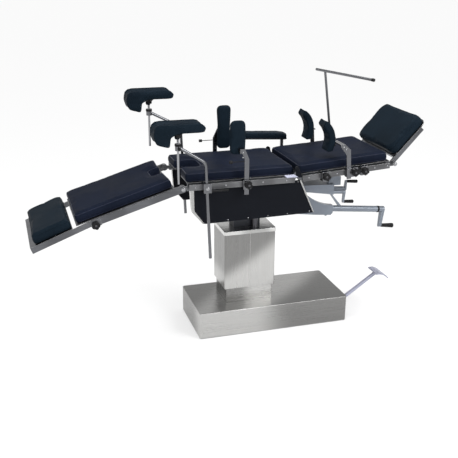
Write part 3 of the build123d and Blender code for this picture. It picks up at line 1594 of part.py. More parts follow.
# Side supports: a flat strap up through the clamp, a short plate that leans to the
# pad, and the rounded upright pad.
side_strap_foot = 826
side_strap_top = 1014
side_plate_rise = 52
side_pad_half = 42
side_pad_thick = 34
side_pad_outer = 217
side_pad_corner = 26
side_lever_length = 64
side_lever_r = 4
near_side = ("near", -1, near_side_x, -107, 1027, 1205)
far_side = ("far", 1, far_side_x, -63, 962, 1208)

for name, side, strap_x, pad_x, pad_foot, pad_top in (near_side, far_side):
    plate_lean = (pad_x - strap_x) * 2 / 3
    with BuildPart() as side_bar:
        with BuildSketch(side_plane(side * strap_mid)):
            with Locations((strap_x, (side_strap_foot + side_strap_top) / 2)):
                Rectangle(strap_width, side_strap_top - side_strap_foot)
            with BuildLine():
                Polyline(
                    (strap_x - strap_width / 2, side_strap_top),
                    (strap_x + strap_width / 2, side_strap_top),
                    (strap_x + strap_width / 2 + plate_lean, side_strap_top + side_plate_rise),
                    (strap_x - strap_width / 2 + plate_lean, side_strap_top + side_plate_rise),
                    close=True,
                )
            make_face()
        extrude(amount=strap_thick / 2, both=True)
        with BuildSketch(side_plane(side * (side_pad_outer + strap_inner) / 2)):
            with Locations((strap_x + plate_lean, side_strap_top + side_plate_rise - strap_width / 2)):
                Rectangle(strap_width, strap_width)
        extrude(amount=(strap_inner - side_pad_outer) / 2, both=True)
        lever_place = Plane(
            origin=(strap_x - strap_width / 2, side * strap_mid, side_strap_top - strap_width / 2),
            z_dir=(-1, 0, 0)
        )
        with BuildSketch(lever_place):
            Circle(side_lever_r / 2)
        extrude(amount=side_lever_length)
        with BuildSketch(lever_place.offset(side_lever_length)):
            Circle(2 * side_lever_r)
        extrude(amount=4 * side_lever_r)
    side_bar.part.label = f"{name}_side_bar"
    export_step(side_bar.part, f"parts/{name}_side_bar.step")

    pad_middle = Plane(
        origin=(pad_x, side * side_pad_outer, (pad_foot + pad_top) / 2), x_dir=(0, 0, 1), z_dir=(0, -side, 0)
    )
    side_pad = cushion(
        pad_middle, (pad_foot - pad_top) / 2, (pad_top - pad_foot) / 2, side_pad_half, side_pad_thick,
        corner=side_pad_corner,
    )
    side_pad.part.label = f"{name}_side_pad"
    export_step(side_pad.part, f"parts/{name}_side_pad.step")

# Shoulder supports: a strap up through the clamp, a plate leaning to the foot end,
# a cross bar inward, and a crescent pad that is hollow towards the foot end.
shoulder_strap_low = -92
shoulder_strap_high = 66
shoulder_plate_foot = 240
shoulder_plate_high = 100
shoulder_bar_in = 150
shoulder_pad_from = 104
shoulder_pad_to = 192
crescent_outer = ((190, 222), (237, 146), (220, 52))
crescent_inner = ((184, 52), (204, 128), (172, 196))

for name, side in (("near", -1), ("far", 1)):
    with BuildPart() as shoulder_bar:
        with BuildSketch(back_side.offset(-side * strap_mid)):
            with Locations((shoulder_strap_at, (shoulder_strap_low + shoulder_strap_high) / 2)):
                Rectangle(strap_width, shoulder_strap_high - shoulder_strap_low)
            with BuildLine():
                Polyline(
                    (shoulder_strap_at - strap_width / 2, shoulder_strap_high - strap_width),
                    (shoulder_strap_at + strap_width / 2, shoulder_strap_high - strap_width / 2),
                    (shoulder_strap_at + strap_width / 2, shoulder_strap_high),
                    (shoulder_plate_foot + strap_width, shoulder_plate_high),
                    (shoulder_plate_foot, shoulder_plate_high),
                    (shoulder_plate_foot, shoulder_plate_high - strap_width / 2),
                    close=True,
                )
            make_face()
        extrude(amount=strap_thick / 2, both=True)
        with BuildSketch(across(back, shoulder_plate_foot + strap_width / 2, side, shoulder_plate_high)):
            with Locations(((shoulder_bar_in + strap_inner + strap_thick) / 2, -strap_thick / 2)):
                Rectangle(strap_inner + strap_thick - shoulder_bar_in, strap_thick)
        extrude(amount=strap_width / 2, both=True)
        with BuildSketch(across(back, shoulder_plate_foot + strap_thick / 2, side, shoulder_plate_high)):
            with Locations((shoulder_bar_in + strap_width / 2, 0)):
                Rectangle(strap_width, 2 * strap_width)
        extrude(amount=strap_thick / 2, both=True)
    shoulder_bar.part.label = f"{name}_shoulder_bar"
    export_step(shoulder_bar.part, f"parts/{name}_shoulder_bar.step")

    with BuildPart() as shoulder_pad:
        with BuildSketch(back_side.offset(-side * (shoulder_pad_from + shoulder_pad_to) / 2)):
            with BuildLine():
                ThreePointArc(*crescent_outer)
                Line(crescent_outer[-1], crescent_inner[0])
                ThreePointArc(*crescent_inner)
                Line(crescent_inner[-1], crescent_outer[0])
            make_face()
        extrude(amount=(shoulder_pad_to - shoulder_pad_from) / 2, both=True)
    shoulder_pad.part.label = f"{name}_shoulder_pad"
    export_step(shoulder_pad.part, f"parts/{name}_shoulder_pad.step")

# Armboard: a clamp and arm on the far back rail, and the padded board that
# swivels on the arm's post.
armboard_at = 120
armboard_y = 332
armboard_arm_half = 14
armboard_arm_thick = 10
armboard_post_r = 10
armboard_post_top = 45
armboard_fall = 3.5
board_thick = 6
board_from = -410
board_to = 25
board_half_width = 52
board_pad_thick = 27
board_corner = 30

arm_place = back_side.from_local_coords((armboard_at, back_rail_mid + hook_half_height, 0))
board_low = arm_place.Z + armboard_arm_thick + armboard_post_top

with BuildPart() as armboard_bracket:
    rail_hook(back, armboard_at, 1, back_rail_mid, clamp_half, strap_clamp_outer)
    with BuildSketch(Plane((arm_place.X, 0, arm_place.Z - armboard_arm_thick))):
        with Locations((0, (rail_outer + armboard_y) / 2)):
            Rectangle(2 * armboard_arm_half, armboard_y - rail_outer)
        with Locations((0, armboard_y)):
            Circle(armboard_arm_half)
    extrude(amount=armboard_arm_thick)
    with BuildSketch(Plane((arm_place.X, armboard_y, arm_place.Z))):
        Circle(armboard_post_r)
    extrude(amount=armboard_arm_thick + armboard_post_top)
armboard_bracket.part.label = "armboard_bracket"
export_step(armboard_bracket.part, "parts/armboard_bracket.step")

board_seat = armboard_post_r * sin(radians(armboard_fall))
board_ground = section_plane(arm_place.X, board_low + board_seat + soft_gap, -armboard_fall, armboard_y)
board_pad = cushion(
    board_ground.offset(board_thick), board_from, board_to, board_half_width,
    board_pad_thick, corner=board_corner
)
with BuildPart() as armboard_pad:
    add(board_pad.part)
    with BuildSketch(board_ground):
        with Locations(((board_from + board_to) / 2, 0)):
            RectangleRounded(
                board_to - board_from - 2 * board_thick, 2 * (board_half_width - board_thick), board_corner
            )
    extrude(amount=board_thick)
armboard_pad.part.label = "armboard_pad"
export_step(armboard_pad.part, "parts/armboard_pad.step")

# Screen: the pole in the far clamp and the bar across its top that holds drapes
# clear of the face.
pole_below = 46
pole_top_z = 1362
screen_bar_r = 7.5
bar_turn = -73.3
bar_far = 78
bar_near = 403
cap_r = 9
bar_cap_length = 14

pole_above = (pole_top_z - screen_place.Z) / cos(radians(screen_lean))
pole_top = screen_ground.from_local_coords((0, 0, pole_above))
bar_dir = Vector(cos(radians(bar_turn)), sin(radians(bar_turn)), 0)

with BuildPart() as screen:
    with BuildSketch(screen_ground.offset(-pole_below)):
        Circle(screen_pole_r)
    extrude(amount=pole_below + pole_above)
    with BuildSketch(Plane(origin=pole_top - bar_dir * bar_far, z_dir=bar_dir)):
        Circle(screen_bar_r)
    extrude(amount=bar_far + bar_near)
    with BuildSketch(Plane(origin=pole_top + bar_dir * (bar_near - bar_cap_length), z_dir=bar_dir)):
        Circle(cap_r)
    extrude(amount=bar_cap_length)
screen.part.label = "screen"
export_step(screen.part, "parts/screen.step")
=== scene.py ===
"""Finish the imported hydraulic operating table: pads, grips, fittings, light and camera."""
from __future__ import annotations

import json
import logging
import math
import sys
from dataclasses import dataclass, field
from enum import Enum
from functools import partial
from typing import Callable, Iterable, Sequence

import bmesh
import bpy
import numpy as np
from mathutils import Matrix, Vector, noise

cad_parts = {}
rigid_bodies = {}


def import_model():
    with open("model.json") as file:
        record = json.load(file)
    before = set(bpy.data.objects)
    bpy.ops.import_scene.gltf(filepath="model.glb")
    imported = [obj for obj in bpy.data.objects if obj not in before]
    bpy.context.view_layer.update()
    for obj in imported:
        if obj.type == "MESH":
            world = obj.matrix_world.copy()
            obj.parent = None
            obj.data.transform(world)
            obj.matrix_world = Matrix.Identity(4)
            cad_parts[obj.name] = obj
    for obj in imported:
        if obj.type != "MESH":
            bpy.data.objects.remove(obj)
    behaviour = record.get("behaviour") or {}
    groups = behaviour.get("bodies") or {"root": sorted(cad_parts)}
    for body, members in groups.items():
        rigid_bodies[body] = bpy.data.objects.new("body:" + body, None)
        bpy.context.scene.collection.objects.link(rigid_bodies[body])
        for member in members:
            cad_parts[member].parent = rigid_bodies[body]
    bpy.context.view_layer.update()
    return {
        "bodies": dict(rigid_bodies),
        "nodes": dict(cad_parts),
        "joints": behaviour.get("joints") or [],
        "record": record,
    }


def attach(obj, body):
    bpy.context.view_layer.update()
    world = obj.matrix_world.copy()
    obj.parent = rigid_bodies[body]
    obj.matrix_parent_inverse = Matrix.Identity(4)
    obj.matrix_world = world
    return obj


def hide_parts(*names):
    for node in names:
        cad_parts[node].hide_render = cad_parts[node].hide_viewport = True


LOG = logging.getLogger("operating_table")
MM = 0.001
NEAR, FAR = -1, 1
SIDE_NAMES = {NEAR: "near", FAR: "far"}
Colour = tuple[float, float, float]
Triple = tuple[float, float, float]
Pairs = tuple[tuple[float, float], ...]
# Painted highlight: the near-white colour that steel's turned edges are lightened towards.
PAINTED_EDGE_HIGHLIGHT: Colour = (0.95, 0.95, 0.94)


def mm(*parts: float) -> tuple[float, ...]:
    """Return lengths given in millimetres as metres."""
    return tuple(part * MM for part in parts)


class Slot(Enum):
    """The record's material slots; each new piece is handed one, but nothing reads it."""

    STAINLESS = "stainless"
    CHROME = "chrome"
    COVER = "dark_cover"
    SEAT_VINYL = "seat_vinyl"
    PAD_VINYL = "pad_vinyl"
    IRON = "iron"
    KNOB = "knob_plastic"


class NodeTree:
    """A small writer for shader trees."""

    def __init__(self, tree: bpy.types.NodeTree) -> None:
        """Start on an empty tree.

        Args:
            tree: the material's or the group's node tree.
        """
        self.tree = tree
        self.tree.nodes.clear()

    def add(self, kind: str, settings: dict | None = None, **inputs: object) -> bpy.types.Node:
        """Add a node, set its properties and fill or link its inputs.

        Args:
            kind: the node's type name, without its ShaderNode prefix.
            settings: properties of the node by name.
            inputs: a value or an output socket for each input, by its name with _ for a space.

        Returns:
            The new node.
        """
        node = self.tree.nodes.new(kind if kind.startswith("Node") else "ShaderNode" + kind)
        for name, value in (settings or {}).items():
            setattr(node, name, value)
        for name, value in inputs.items():
            key = int(name[1:]) if name[0] == "n" and name[1:].isdigit() else name.replace("_", " ")
            self.feed(node.inputs[key], value)
        return node

    def feed(self, socket: bpy.types.NodeSocket, value: object) -> None:
        """Link an output to a socket, or set the socket's own value.

        Args:
            socket: the input.
            value: an output socket, a colour or a number.
        """
        if isinstance(value, bpy.types.NodeSocket):
            self.tree.links.new(value, socket)
        elif isinstance(value, tuple) and len(value) == 3 and socket.type == "RGBA":
            socket.default_value = (*value, 1.0)
        else:
            socket.default_value = value

    def maths(
        self, operation: str, first: object, second: object = 0.5, clamp: bool = False
    ) -> bpy.types.NodeSocket:
        """Return the output of a Math node."""
        node = self.add("Math", {"operation": operation, "use_clamp": clamp}, n0=first, n1=second)
        return node.outputs[0]

    def spread(
        self, value: object, low: float, high: float, to_low: float, to_high: float
    ) -> bpy.types.NodeSocket:
        """Move a value from one range to another, smoothly and held at its ends.

        Args:
            value: the socket to move.
            low: the lower end of its range.
            high: the upper end of its range.
            to_low: what the lower end becomes.
            to_high: what the upper end becomes.

        Returns:
            The moved value's socket.
        """
        node = self.add(
            "MapRange", {"interpolation_type": "SMOOTHSTEP"},
            Value=value, From_Min=low, From_Max=high, To_Min=to_low, To_Max=to_high,
        )
        return node.outputs[0]

    def scaled(self, value: object, by: object) -> bpy.types.NodeSocket:
        """Return a vector times another, part by part."""
        return self.add("VectorMath", {"operation": "MULTIPLY"}, n0=value, n1=by).outputs[0]

    def along(self, value: object, direction: object) -> bpy.types.NodeSocket:
        """Return how far a vector reaches along a direction."""
        return self.add("VectorMath", {"operation": "DOT_PRODUCT"}, n0=value, n1=direction).outputs[1]

    def mix(self, share: object, first: object, second: object) -> bpy.types.NodeSocket:
        """Mix two colours.

        Args:
            share: how much of the second.
            first: the colour at no share.
            second: the colour at full share.

        Returns:
            The mixed colour's socket.
        """
        node = self.add("Mix", {"data_type": "RGBA"})
        self.feed(node.inputs[0], share)
        self.feed(node.inputs[6], first)
        self.feed(node.inputs[7], second)
        return node.outputs[2]


class SharedGroups:
    """The shader groups that more than one finish uses, each built once."""

    def __init__(self) -> None:
        """Build the groups."""
        self.brushed = self._brushed()
        self.reflection_bands = self._reflection_bands()
        self.grain = self._grain()
        self.marks = self._marks()
        self.edges = self._edges()

    @staticmethod
    def _group(
        name: str, inputs: Iterable[tuple[str, str, object]], outputs: Iterable[tuple[str, str]]
    ) -> tuple[bpy.types.NodeTree, NodeTree, bpy.types.Node, bpy.types.Node]:
        """Make an empty group with its sockets.

        Args:
            name: the group's name.
            inputs: name, socket type and default of each input.
            outputs: name and socket type of each output.

        Returns:
            The group, its tree writer, its input node and its output node.
        """
        group = bpy.data.node_groups.new(name, "ShaderNodeTree")
        tree = NodeTree(group)
        for label, kind, default in inputs:
            socket = group.interface.new_socket(label, in_out="INPUT", socket_type="NodeSocket" + kind)
            socket.default_value = default
        for label, kind in outputs:
            group.interface.new_socket(label, in_out="OUTPUT", socket_type="NodeSocket" + kind)
        return group, tree, tree.add("NodeGroupInput"), tree.add("NodeGroupOutput")

    def _brushed(self) -> bpy.types.NodeTree:
        """Fine lines left by a brush, long in one direction.

        Returns:
            The group.
        """
        group, tree, given, out = self._group(
            "Brushed lines",
            [("Stretch", "Vector", (1.0, 1.0, 1.0)), ("Fineness", "Float", 60.0)],
            [("Lines", "Float"), ("Height", "Float")],
        )
        place = tree.add("TexCoord").outputs["Object"]
        scaled = tree.scaled(place, given.outputs["Stretch"])
        fine = tree.add(
            "TexNoise", Vector=scaled, Scale=given.outputs["Fineness"], Detail=6.0, Roughness=0.7
        ).outputs[0]
        broad = tree.add("TexNoise", Vector=scaled, Scale=9.0, Detail=2.0, Roughness=0.5).outputs[0]
        both = tree.maths("ADD", tree.maths("MULTIPLY", fine, 0.65), tree.maths("MULTIPLY", broad, 0.35))
        tree.feed(out.inputs["Lines"], tree.spread(both, 0.32, 0.68, 0.0, 1.0))
        tree.feed(out.inputs["Height"], fine)
        return group

    def _reflection_bands(self) -> bpy.types.NodeTree:
        """Painted reflections: soft broad light and dark bands along one direction, bent a little.

        Returns:
            The group.
        """
        group, tree, given, out = self._group(
            "Painted reflection stripes",
            [("Direction", "Vector", (0.0, 0.0, 1.0)), ("Length", "Float", 0.3), ("Shift", "Float", 0.0)],
            [("Reflection band", "Float")],
        )
        place = tree.add("TexCoord").outputs["Object"]
        bend = tree.add("TexNoise", Vector=place, Scale=1.6, Detail=1.0).outputs[0]
        along = tree.along(place, given.outputs["Direction"])
        bent = tree.maths("ADD", along, tree.maths("MULTIPLY", tree.maths("SUBTRACT", bend, 0.5), 0.16))
        turn = tree.maths("ADD", tree.maths("DIVIDE", bent, given.outputs["Length"]), given.outputs["Shift"])
        wave = tree.maths("SINE", tree.maths("MULTIPLY", turn, 2 * math.pi))
        tree.feed(out.inputs["Reflection band"], tree.spread(wave, -0.85, 0.95, 0.0, 1.0))
        return group

    def _grain(self) -> bpy.types.NodeTree:
        """The cells of vinyl or moulded plastic, with slack creases between them.

        Returns:
            The group.
        """
        group, tree, given, out = self._group(
            "Pressed grain",
            [("Cells", "Float", 900.0), ("Crease", "Float", 14.0)],
            [("Height", "Float"), ("Mottle", "Float"), ("Creases", "Float")],
        )
        place = tree.add("TexCoord").outputs["Object"]
        cells = tree.add(
            "TexVoronoi", {"feature": "DISTANCE_TO_EDGE"}, Vector=place, Scale=given.outputs["Cells"]
        ).outputs[0]
        pits = tree.spread(cells, 0.0, 0.12, 0.0, 1.0)
        wrinkle = tree.add(
            "TexNoise", Vector=place, Scale=given.outputs["Crease"], Detail=5.0, Distortion=1.4
        ).outputs[0]
        creases = tree.spread(tree.maths("ABSOLUTE", tree.maths("SUBTRACT", wrinkle, 0.5)), 0.0, 0.05, 1.0, 0.0)
        mottle = tree.add("TexNoise", Vector=place, Scale=5.0, Detail=4.0).outputs[0]
        tree.feed(out.inputs["Height"], tree.maths("ADD", pits, tree.maths("MULTIPLY", creases, -0.9)))
        tree.feed(out.inputs["Mottle"], tree.spread(mottle, 0.3, 0.7, 0.0, 1.0))
        tree.feed(out.inputs["Creases"], creases)
        return group

    def _marks(self) -> bpy.types.NodeTree:
        """Finger marks, dust and small scratches.

        Returns:
            The group.
        """
        group, tree, given, out = self._group(
            "Marks of use", [("Amount", "Float", 0.3)], [("Marks", "Float"), ("Scratches", "Float")]
        )
        place = tree.add("TexCoord").outputs["Object"]
        smudge = tree.add("TexNoise", Vector=place, Scale=11.0, Detail=7.0, Roughness=0.62).outputs[0]
        patches = tree.spread(smudge, 0.5, 0.72, 0.0, 1.0)
        long_place = tree.scaled(place, (1.0, 7.0, 3.0))
        scratch = tree.add("TexNoise", Vector=long_place, Scale=70.0, Detail=2.0, Distortion=0.6).outputs[0]
        thin = tree.spread(scratch, 0.70, 0.74, 0.0, 1.0)
        tree.feed(out.inputs["Marks"], tree.maths("MULTIPLY", patches, given.outputs["Amount"]))
        tree.feed(out.inputs["Scratches"], tree.maths("MULTIPLY", thin, given.outputs["Amount"]))
        return group

    def _edges(self) -> bpy.types.NodeTree:
        """Where a surface turns: rounded normals and a mask of the edge.

        Returns:
            The group.
        """
        group, tree, given, out = self._group(
            "Turned edges", [("Radius", "Float", 0.002)], [("Edge", "Float"), ("Normal", "Vector")]
        )
        rounded = tree.add("Bevel", {"samples": 6}, Radius=given.outputs["Radius"]).outputs[0]
        flat = tree.add("NewGeometry").outputs["Normal"]
        facing = tree.along(rounded, flat)
        tree.feed(out.inputs["Edge"], tree.spread(facing, 0.82, 0.995, 1.0, 0.0))
        tree.feed(out.inputs["Normal"], rounded)
        return group


@dataclass(frozen=True)
class Finish:
    """What every finish has: a name, a colour and how rough it is."""

    name: str
    colour: Colour
    roughness: float

    def material(self, groups: SharedGroups) -> bpy.types.Material:
        """Make the finish's material, once.

        Args:
            groups: the shared shader groups.

        Returns:
            The material.
        """
        found = bpy.data.materials.get(self.name)
        if found is None:
            found = bpy.data.materials.new(self.name)
            found.use_nodes = True
            tree = NodeTree(found.node_tree)
            shader = tree.add("BsdfPrincipled")
            self.fill(tree, shader, groups)
            out = tree.add("OutputMaterial")
            tree.feed(out.inputs["Surface"], shader.outputs[0])
        return found

    def fill(self, tree: NodeTree, shader: bpy.types.Node, groups: SharedGroups) -> None:
        """Feed the shader. Each kind of finish has its own way."""
        raise NotImplementedError

    @staticmethod
    def use(tree: NodeTree, group: bpy.types.NodeTree, **inputs: object) -> bpy.types.Node:
        """Place a shared group in the material.

        Args:
            tree: the material's tree.
            group: the shared group.
            inputs: a value or an output socket for each of its inputs.

        Returns:
            The group's node.
        """
        node = tree.add("Group", {"node_tree": group})
        for name, value in inputs.items():
            tree.feed(node.inputs[name], value)
        return node

    @staticmethod
    def lighter(colour: Colour, by: float) -> Colour:
        """Return the colour times a factor, held at white."""
        return tuple(min(1.0, part * by) for part in colour)


@dataclass(frozen=True)
class SteelFinish(Finish):
    """Bare metal: brushed lines, painted reflection bands, painted highlights on turned edges, and marks."""

    stretch: Triple = (1.0, 1.0, 1.0)
    lines: float = 0.12
    # Painted reflections: how strongly broad light and dark bands are painted into the colour, and their
    # direction, length and shift.
    reflection_bands: float = 0.0
    reflection_band_direction: Triple = (0.0, 0.0, 1.0)
    reflection_band_length: float = 0.3
    reflection_band_shift: float = 0.0
    edge_radius: float = 0.002
    # Painted highlight: how far turned edges are lightened towards a near-white colour.
    edge_highlight: float = 0.35
    marks: float = 0.25

    def fill(self, tree: NodeTree, shader: bpy.types.Node, groups: SharedGroups) -> None:
        """Feed the shader with metal's colour, roughness and normal.

        Args:
            tree: the material's tree.
            shader: its principled shader.
            groups: the shared shader groups.
        """
        brushed = self.use(tree, groups.brushed, Stretch=self.stretch)
        marks = self.use(tree, groups.marks, Amount=self.marks)
        edges = self.use(tree, groups.edges, Radius=self.edge_radius)
        lined = tree.mix(brushed.outputs["Lines"], self.lighter(self.colour, 1 - self.lines),
                         self.lighter(self.colour, 1 + self.lines))
        # Painted reflections: the colour is scaled by broad light and dark bands.
        if self.reflection_bands:
            band = self.use(tree, groups.reflection_bands, Direction=self.reflection_band_direction,
                            Length=self.reflection_band_length, Shift=self.reflection_band_shift)
            reflection_shade = tree.spread(band.outputs["Reflection band"], 0.0, 1.0, 1 - self.reflection_bands, 1 + 0.5 * self.reflection_bands)
            lined = tree.add("VectorMath", {"operation": "SCALE"}, n0=lined, Scale=reflection_shade).outputs[0]
        smudged = tree.mix(marks.outputs["Marks"], lined, self.lighter(self.colour, 0.72))
        # Painted highlight: turned edges are lightened towards a near-white colour.
        turned = tree.maths("MULTIPLY", edges.outputs["Edge"], self.edge_highlight)
        tree.feed(shader.inputs["Base Color"], tree.mix(turned, smudged, PAINTED_EDGE_HIGHLIGHT))
        shader.inputs["Metallic"].default_value = 1.0
        rough = tree.spread(brushed.outputs["Lines"], 0.0, 1.0, self.roughness * 0.85, self.roughness * 1.2)
        rougher = tree.maths("ADD", rough, tree.maths("MULTIPLY", marks.outputs["Marks"], 0.25), clamp=True)
        tree.feed(shader.inputs["Roughness"], rougher)
        bump = tree.add("Bump", Strength=0.10, Distance=0.0002, Height=brushed.outputs["Height"],
                        Normal=edges.outputs["Normal"])
        tree.feed(shader.inputs["Normal"], bump.outputs[0])


@dataclass(frozen=True)
class PaintFinish(Finish):
    """Enamel on steel or a casting: slight orange peel, worn turned edges."""

    metallic: float = 0.0
    coat: float = 0.35
    peel: float = 120.0
    wear: float = 0.5
    gloss: float = 0.4
    bare: Colour = (0.55, 0.56, 0.58)
    marks: float = 0.3

    def fill(self, tree: NodeTree, shader: bpy.types.Node, groups: SharedGroups) -> None:
        """Feed the shader with enamel's colour, roughness and normal.

        Args:
            tree: the material's tree.
            shader: its principled shader.
            groups: the shared shader groups.
        """
        grain = self.use(tree, groups.grain, Cells=self.peel * 4, Crease=self.peel)
        marks = self.use(tree, groups.marks, Amount=self.marks)
        edges = self.use(tree, groups.edges, Radius=0.0016)
        base = tree.mix(grain.outputs["Mottle"], self.lighter(self.colour, 0.9), self.lighter(self.colour, 1.1))
        dusty = tree.mix(marks.outputs["Marks"], base, self.lighter(self.colour, 1.25))
        worn = tree.mix(tree.maths("MULTIPLY", edges.outputs["Edge"], self.wear), dusty, self.bare)
        tree.feed(shader.inputs["Base Color"], worn)
        shader.inputs["Metallic"].default_value = self.metallic
        shader.inputs["Coat Weight"].default_value = self.coat
        shader.inputs["Coat Roughness"].default_value = 0.18
        shader.inputs["Specular IOR Level"].default_value = self.gloss
        marked = tree.maths("MULTIPLY", marks.outputs["Marks"], 0.4)
        tree.feed(shader.inputs["Roughness"], tree.maths("ADD", marked, self.roughness, clamp=True))
        bump = tree.add("Bump", Strength=0.12, Distance=0.0003, Height=grain.outputs["Mottle"],
                        Normal=edges.outputs["Normal"])
        tree.feed(shader.inputs["Normal"], bump.outputs[0])


@dataclass(frozen=True)
class VinylFinish(Finish):
    """Padded vinyl: pressed grain, slack creases and a soft sheen."""

    cells: float = 700.0
    crease: float = 9.0
    crease_depth: float = 0.25
    gloss: float = 0.02

    def fill(self, tree: NodeTree, shader: bpy.types.Node, groups: SharedGroups) -> None:
        """Feed the shader with vinyl's colour, roughness and normal.

        Args:
            tree: the material's tree.
            shader: its principled shader.
            groups: the shared shader groups.
        """
        grain = self.use(tree, groups.grain, Cells=self.cells, Crease=self.crease)
        marks = self.use(tree, groups.marks, Amount=0.35)
        base = tree.mix(grain.outputs["Mottle"], self.lighter(self.colour, 0.86),
                        self.lighter(self.colour, 1.16))
        dusty = tree.mix(marks.outputs["Marks"], base, self.lighter(self.colour, 1.5))
        scuffed = tree.mix(marks.outputs["Scratches"], dusty, self.lighter(self.colour, 1.8))
        tree.feed(shader.inputs["Base Color"], scuffed)
        shader.inputs["Specular IOR Level"].default_value = self.gloss
        rough = tree.spread(grain.outputs["Mottle"], 0.0, 1.0, self.roughness * 0.88, self.roughness * 1.12)
        tree.feed(shader.inputs["Roughness"], rough)
        broad = tree.add("Bump", Strength=self.crease_depth, Distance=0.0009, Height=grain.outputs["Mottle"])
        fine = tree.add("Bump", Strength=0.16, Distance=0.00022, Height=grain.outputs["Height"],
                        Normal=broad.outputs[0])
        tree.feed(shader.inputs["Normal"], fine.outputs[0])


@dataclass(frozen=True)
class PlasticFinish(Finish):
    """Moulded plastic or rubber: fine matt grain with handled patches."""

    cells: float = 1400.0
    marks: float = 0.4
    gloss: float = 0.18

    def fill(self, tree: NodeTree, shader: bpy.types.Node, groups: SharedGroups) -> None:
        """Feed the shader with plastic's colour, roughness and normal.

        Args:
            tree: the material's tree.
            shader: its principled shader.
            groups: the shared shader groups.
        """
        grain = self.use(tree, groups.grain, Cells=self.cells, Crease=40.0)
        marks = self.use(tree, groups.marks, Amount=self.marks)
        base = tree.mix(grain.outputs["Mottle"], self.colour, self.lighter(self.colour, 1.3))
        handled = tree.mix(marks.outputs["Marks"], base, self.lighter(self.colour, 2.2))
        tree.feed(shader.inputs["Base Color"], handled)
        polished = tree.maths("MULTIPLY", marks.outputs["Marks"], -0.12)
        tree.feed(shader.inputs["Roughness"], tree.maths("ADD", polished, self.roughness, clamp=True))
        shader.inputs["Specular IOR Level"].default_value = self.gloss
        bump = tree.add("Bump", Strength=0.2, Distance=0.0002, Height=grain.outputs["Height"])
        tree.feed(shader.inputs["Normal"], bump.outputs[0])


ALONG_X: Triple = (0.06, 2.2, 2.2)
ALONG_Z: Triple = (2.2, 2.2, 0.06)
WARM_STEEL: Colour = (0.46, 0.457, 0.448)

# Painted reflections: the sixth to ninth values of each steel finish set broad light and dark bands painted
# into its colour.
BASE_SHEET = SteelFinish("base sheet", WARM_STEEL, 0.30, ALONG_X, 0.05, 0.45, (1.0, -1.0, 0.2), 1.1, 0.177,
                         0.004, 0.75, 0.10)
SLEEVE_SHEET = SteelFinish("sleeve sheet", WARM_STEEL, 0.26, ALONG_X, 0.05, 0.45, (1.0, 0.0, 0.1), 0.5, 0.01,
                           0.003, 0.7, 0.10)
COVER_SHEET = SteelFinish("column sheet", WARM_STEEL, 0.30, ALONG_Z, 0.05, 0.45, (0.6, 0.0, -1.0), 0.55, 0.76,
                          0.003, 0.75, 0.08)
CAP_SHEET = SteelFinish("cap sheet", (0.60, 0.60, 0.59), 0.24, ALONG_X, 0.04, 0.25, (0.9, 0.1, 0.3), 0.28, 0.1,
                        0.003, 0.8, 0.10)
RAIL_STEEL = SteelFinish("rail steel", (0.165, 0.167, 0.174), 0.34, ALONG_X, 0.14, 0.20, (1.0, 0.0, 0.2),
                         0.22, 0.0, 0.0012, 0.45, 0.35)
ROD_STEEL = SteelFinish("rod steel", (0.17, 0.173, 0.185), 0.24, ALONG_Z, 0.08, edge_radius=0.001, marks=0.2)
CHROME = SteelFinish("chromed rod", (0.36, 0.365, 0.38), 0.10, ALONG_Z, 0.03, edge_radius=0.001, marks=0.12)
FRAME_STEEL = SteelFinish("section frame", (0.145, 0.149, 0.16), 0.36, ALONG_X, 0.12, 0.18, (1.0, 0.0, 0.4),
                          0.3, 0.2, 0.0015, 0.5, 0.3)
DARK_STEEL = SteelFinish("dark machined steel", (0.10, 0.10, 0.11), 0.4, ALONG_X, 0.2, marks=0.4)
ARM_ENAMEL = PaintFinish("arm enamel", (0.165, 0.188, 0.225), 0.38, metallic=0.25, wear=0.35)
PEDAL_ENAMEL = PaintFinish("pedal enamel", (0.36, 0.37, 0.47), 0.42, metallic=0.15, wear=0.3)
CAST_ENAMEL = PaintFinish("turret enamel", (0.030, 0.034, 0.045), 0.5, coat=0.1, wear=0.2)
PUMP_ENAMEL = PaintFinish("pump enamel", (0.12, 0.13, 0.15), 0.5)
SKIRT_ENAMEL = PaintFinish("skirt enamel", (0.006, 0.007, 0.010), 0.42, coat=0.0, wear=0.10, gloss=0.06,
                           marks=0.1)
SEAT_VINYL = VinylFinish("navy vinyl", (0.0080, 0.0110, 0.0210), 0.52)
PAD_VINYL = VinylFinish("teal navy vinyl", (0.0070, 0.0125, 0.0190), 0.5, crease=16.0)
# The welt's colour is lighter than the navy vinyl: a painted highlight along the pads' edges.
HIGHLIGHT_WELT_VINYL = VinylFinish("welt vinyl painted highlight", (0.015, 0.019, 0.036), 0.36, crease_depth=0.1, gloss=0.12)
BLACK_PLASTIC = PlasticFinish("black plastic", (0.006, 0.006, 0.007), 0.42)
BLACK_RUBBER = PlasticFinish("black rubber", (0.012, 0.012, 0.012), 0.62)


@dataclass(frozen=True)
class Section:
    """A straight part of the table top: an origin on its axis and its slope to the head end."""

    body: str
    origin: Vector
    rise: float = 0.0

    def turn(self) -> Matrix:
        """Return the matrix from the section's own axes to the table's."""
        return Matrix.Translation(self.origin) @ Matrix.Rotation(-math.radians(self.rise), 4, "Y")

    def point(self, along: float, across: float, up: float) -> Vector:
        """Return a point of the section in the table's frame."""
        return self.turn() @ Vector((along, across, up))

    def direction(self, along: float, across: float, up: float) -> Vector:
        """Return a direction of the section in the table's frame."""
        return self.turn().to_3x3() @ Vector((along, across, up))


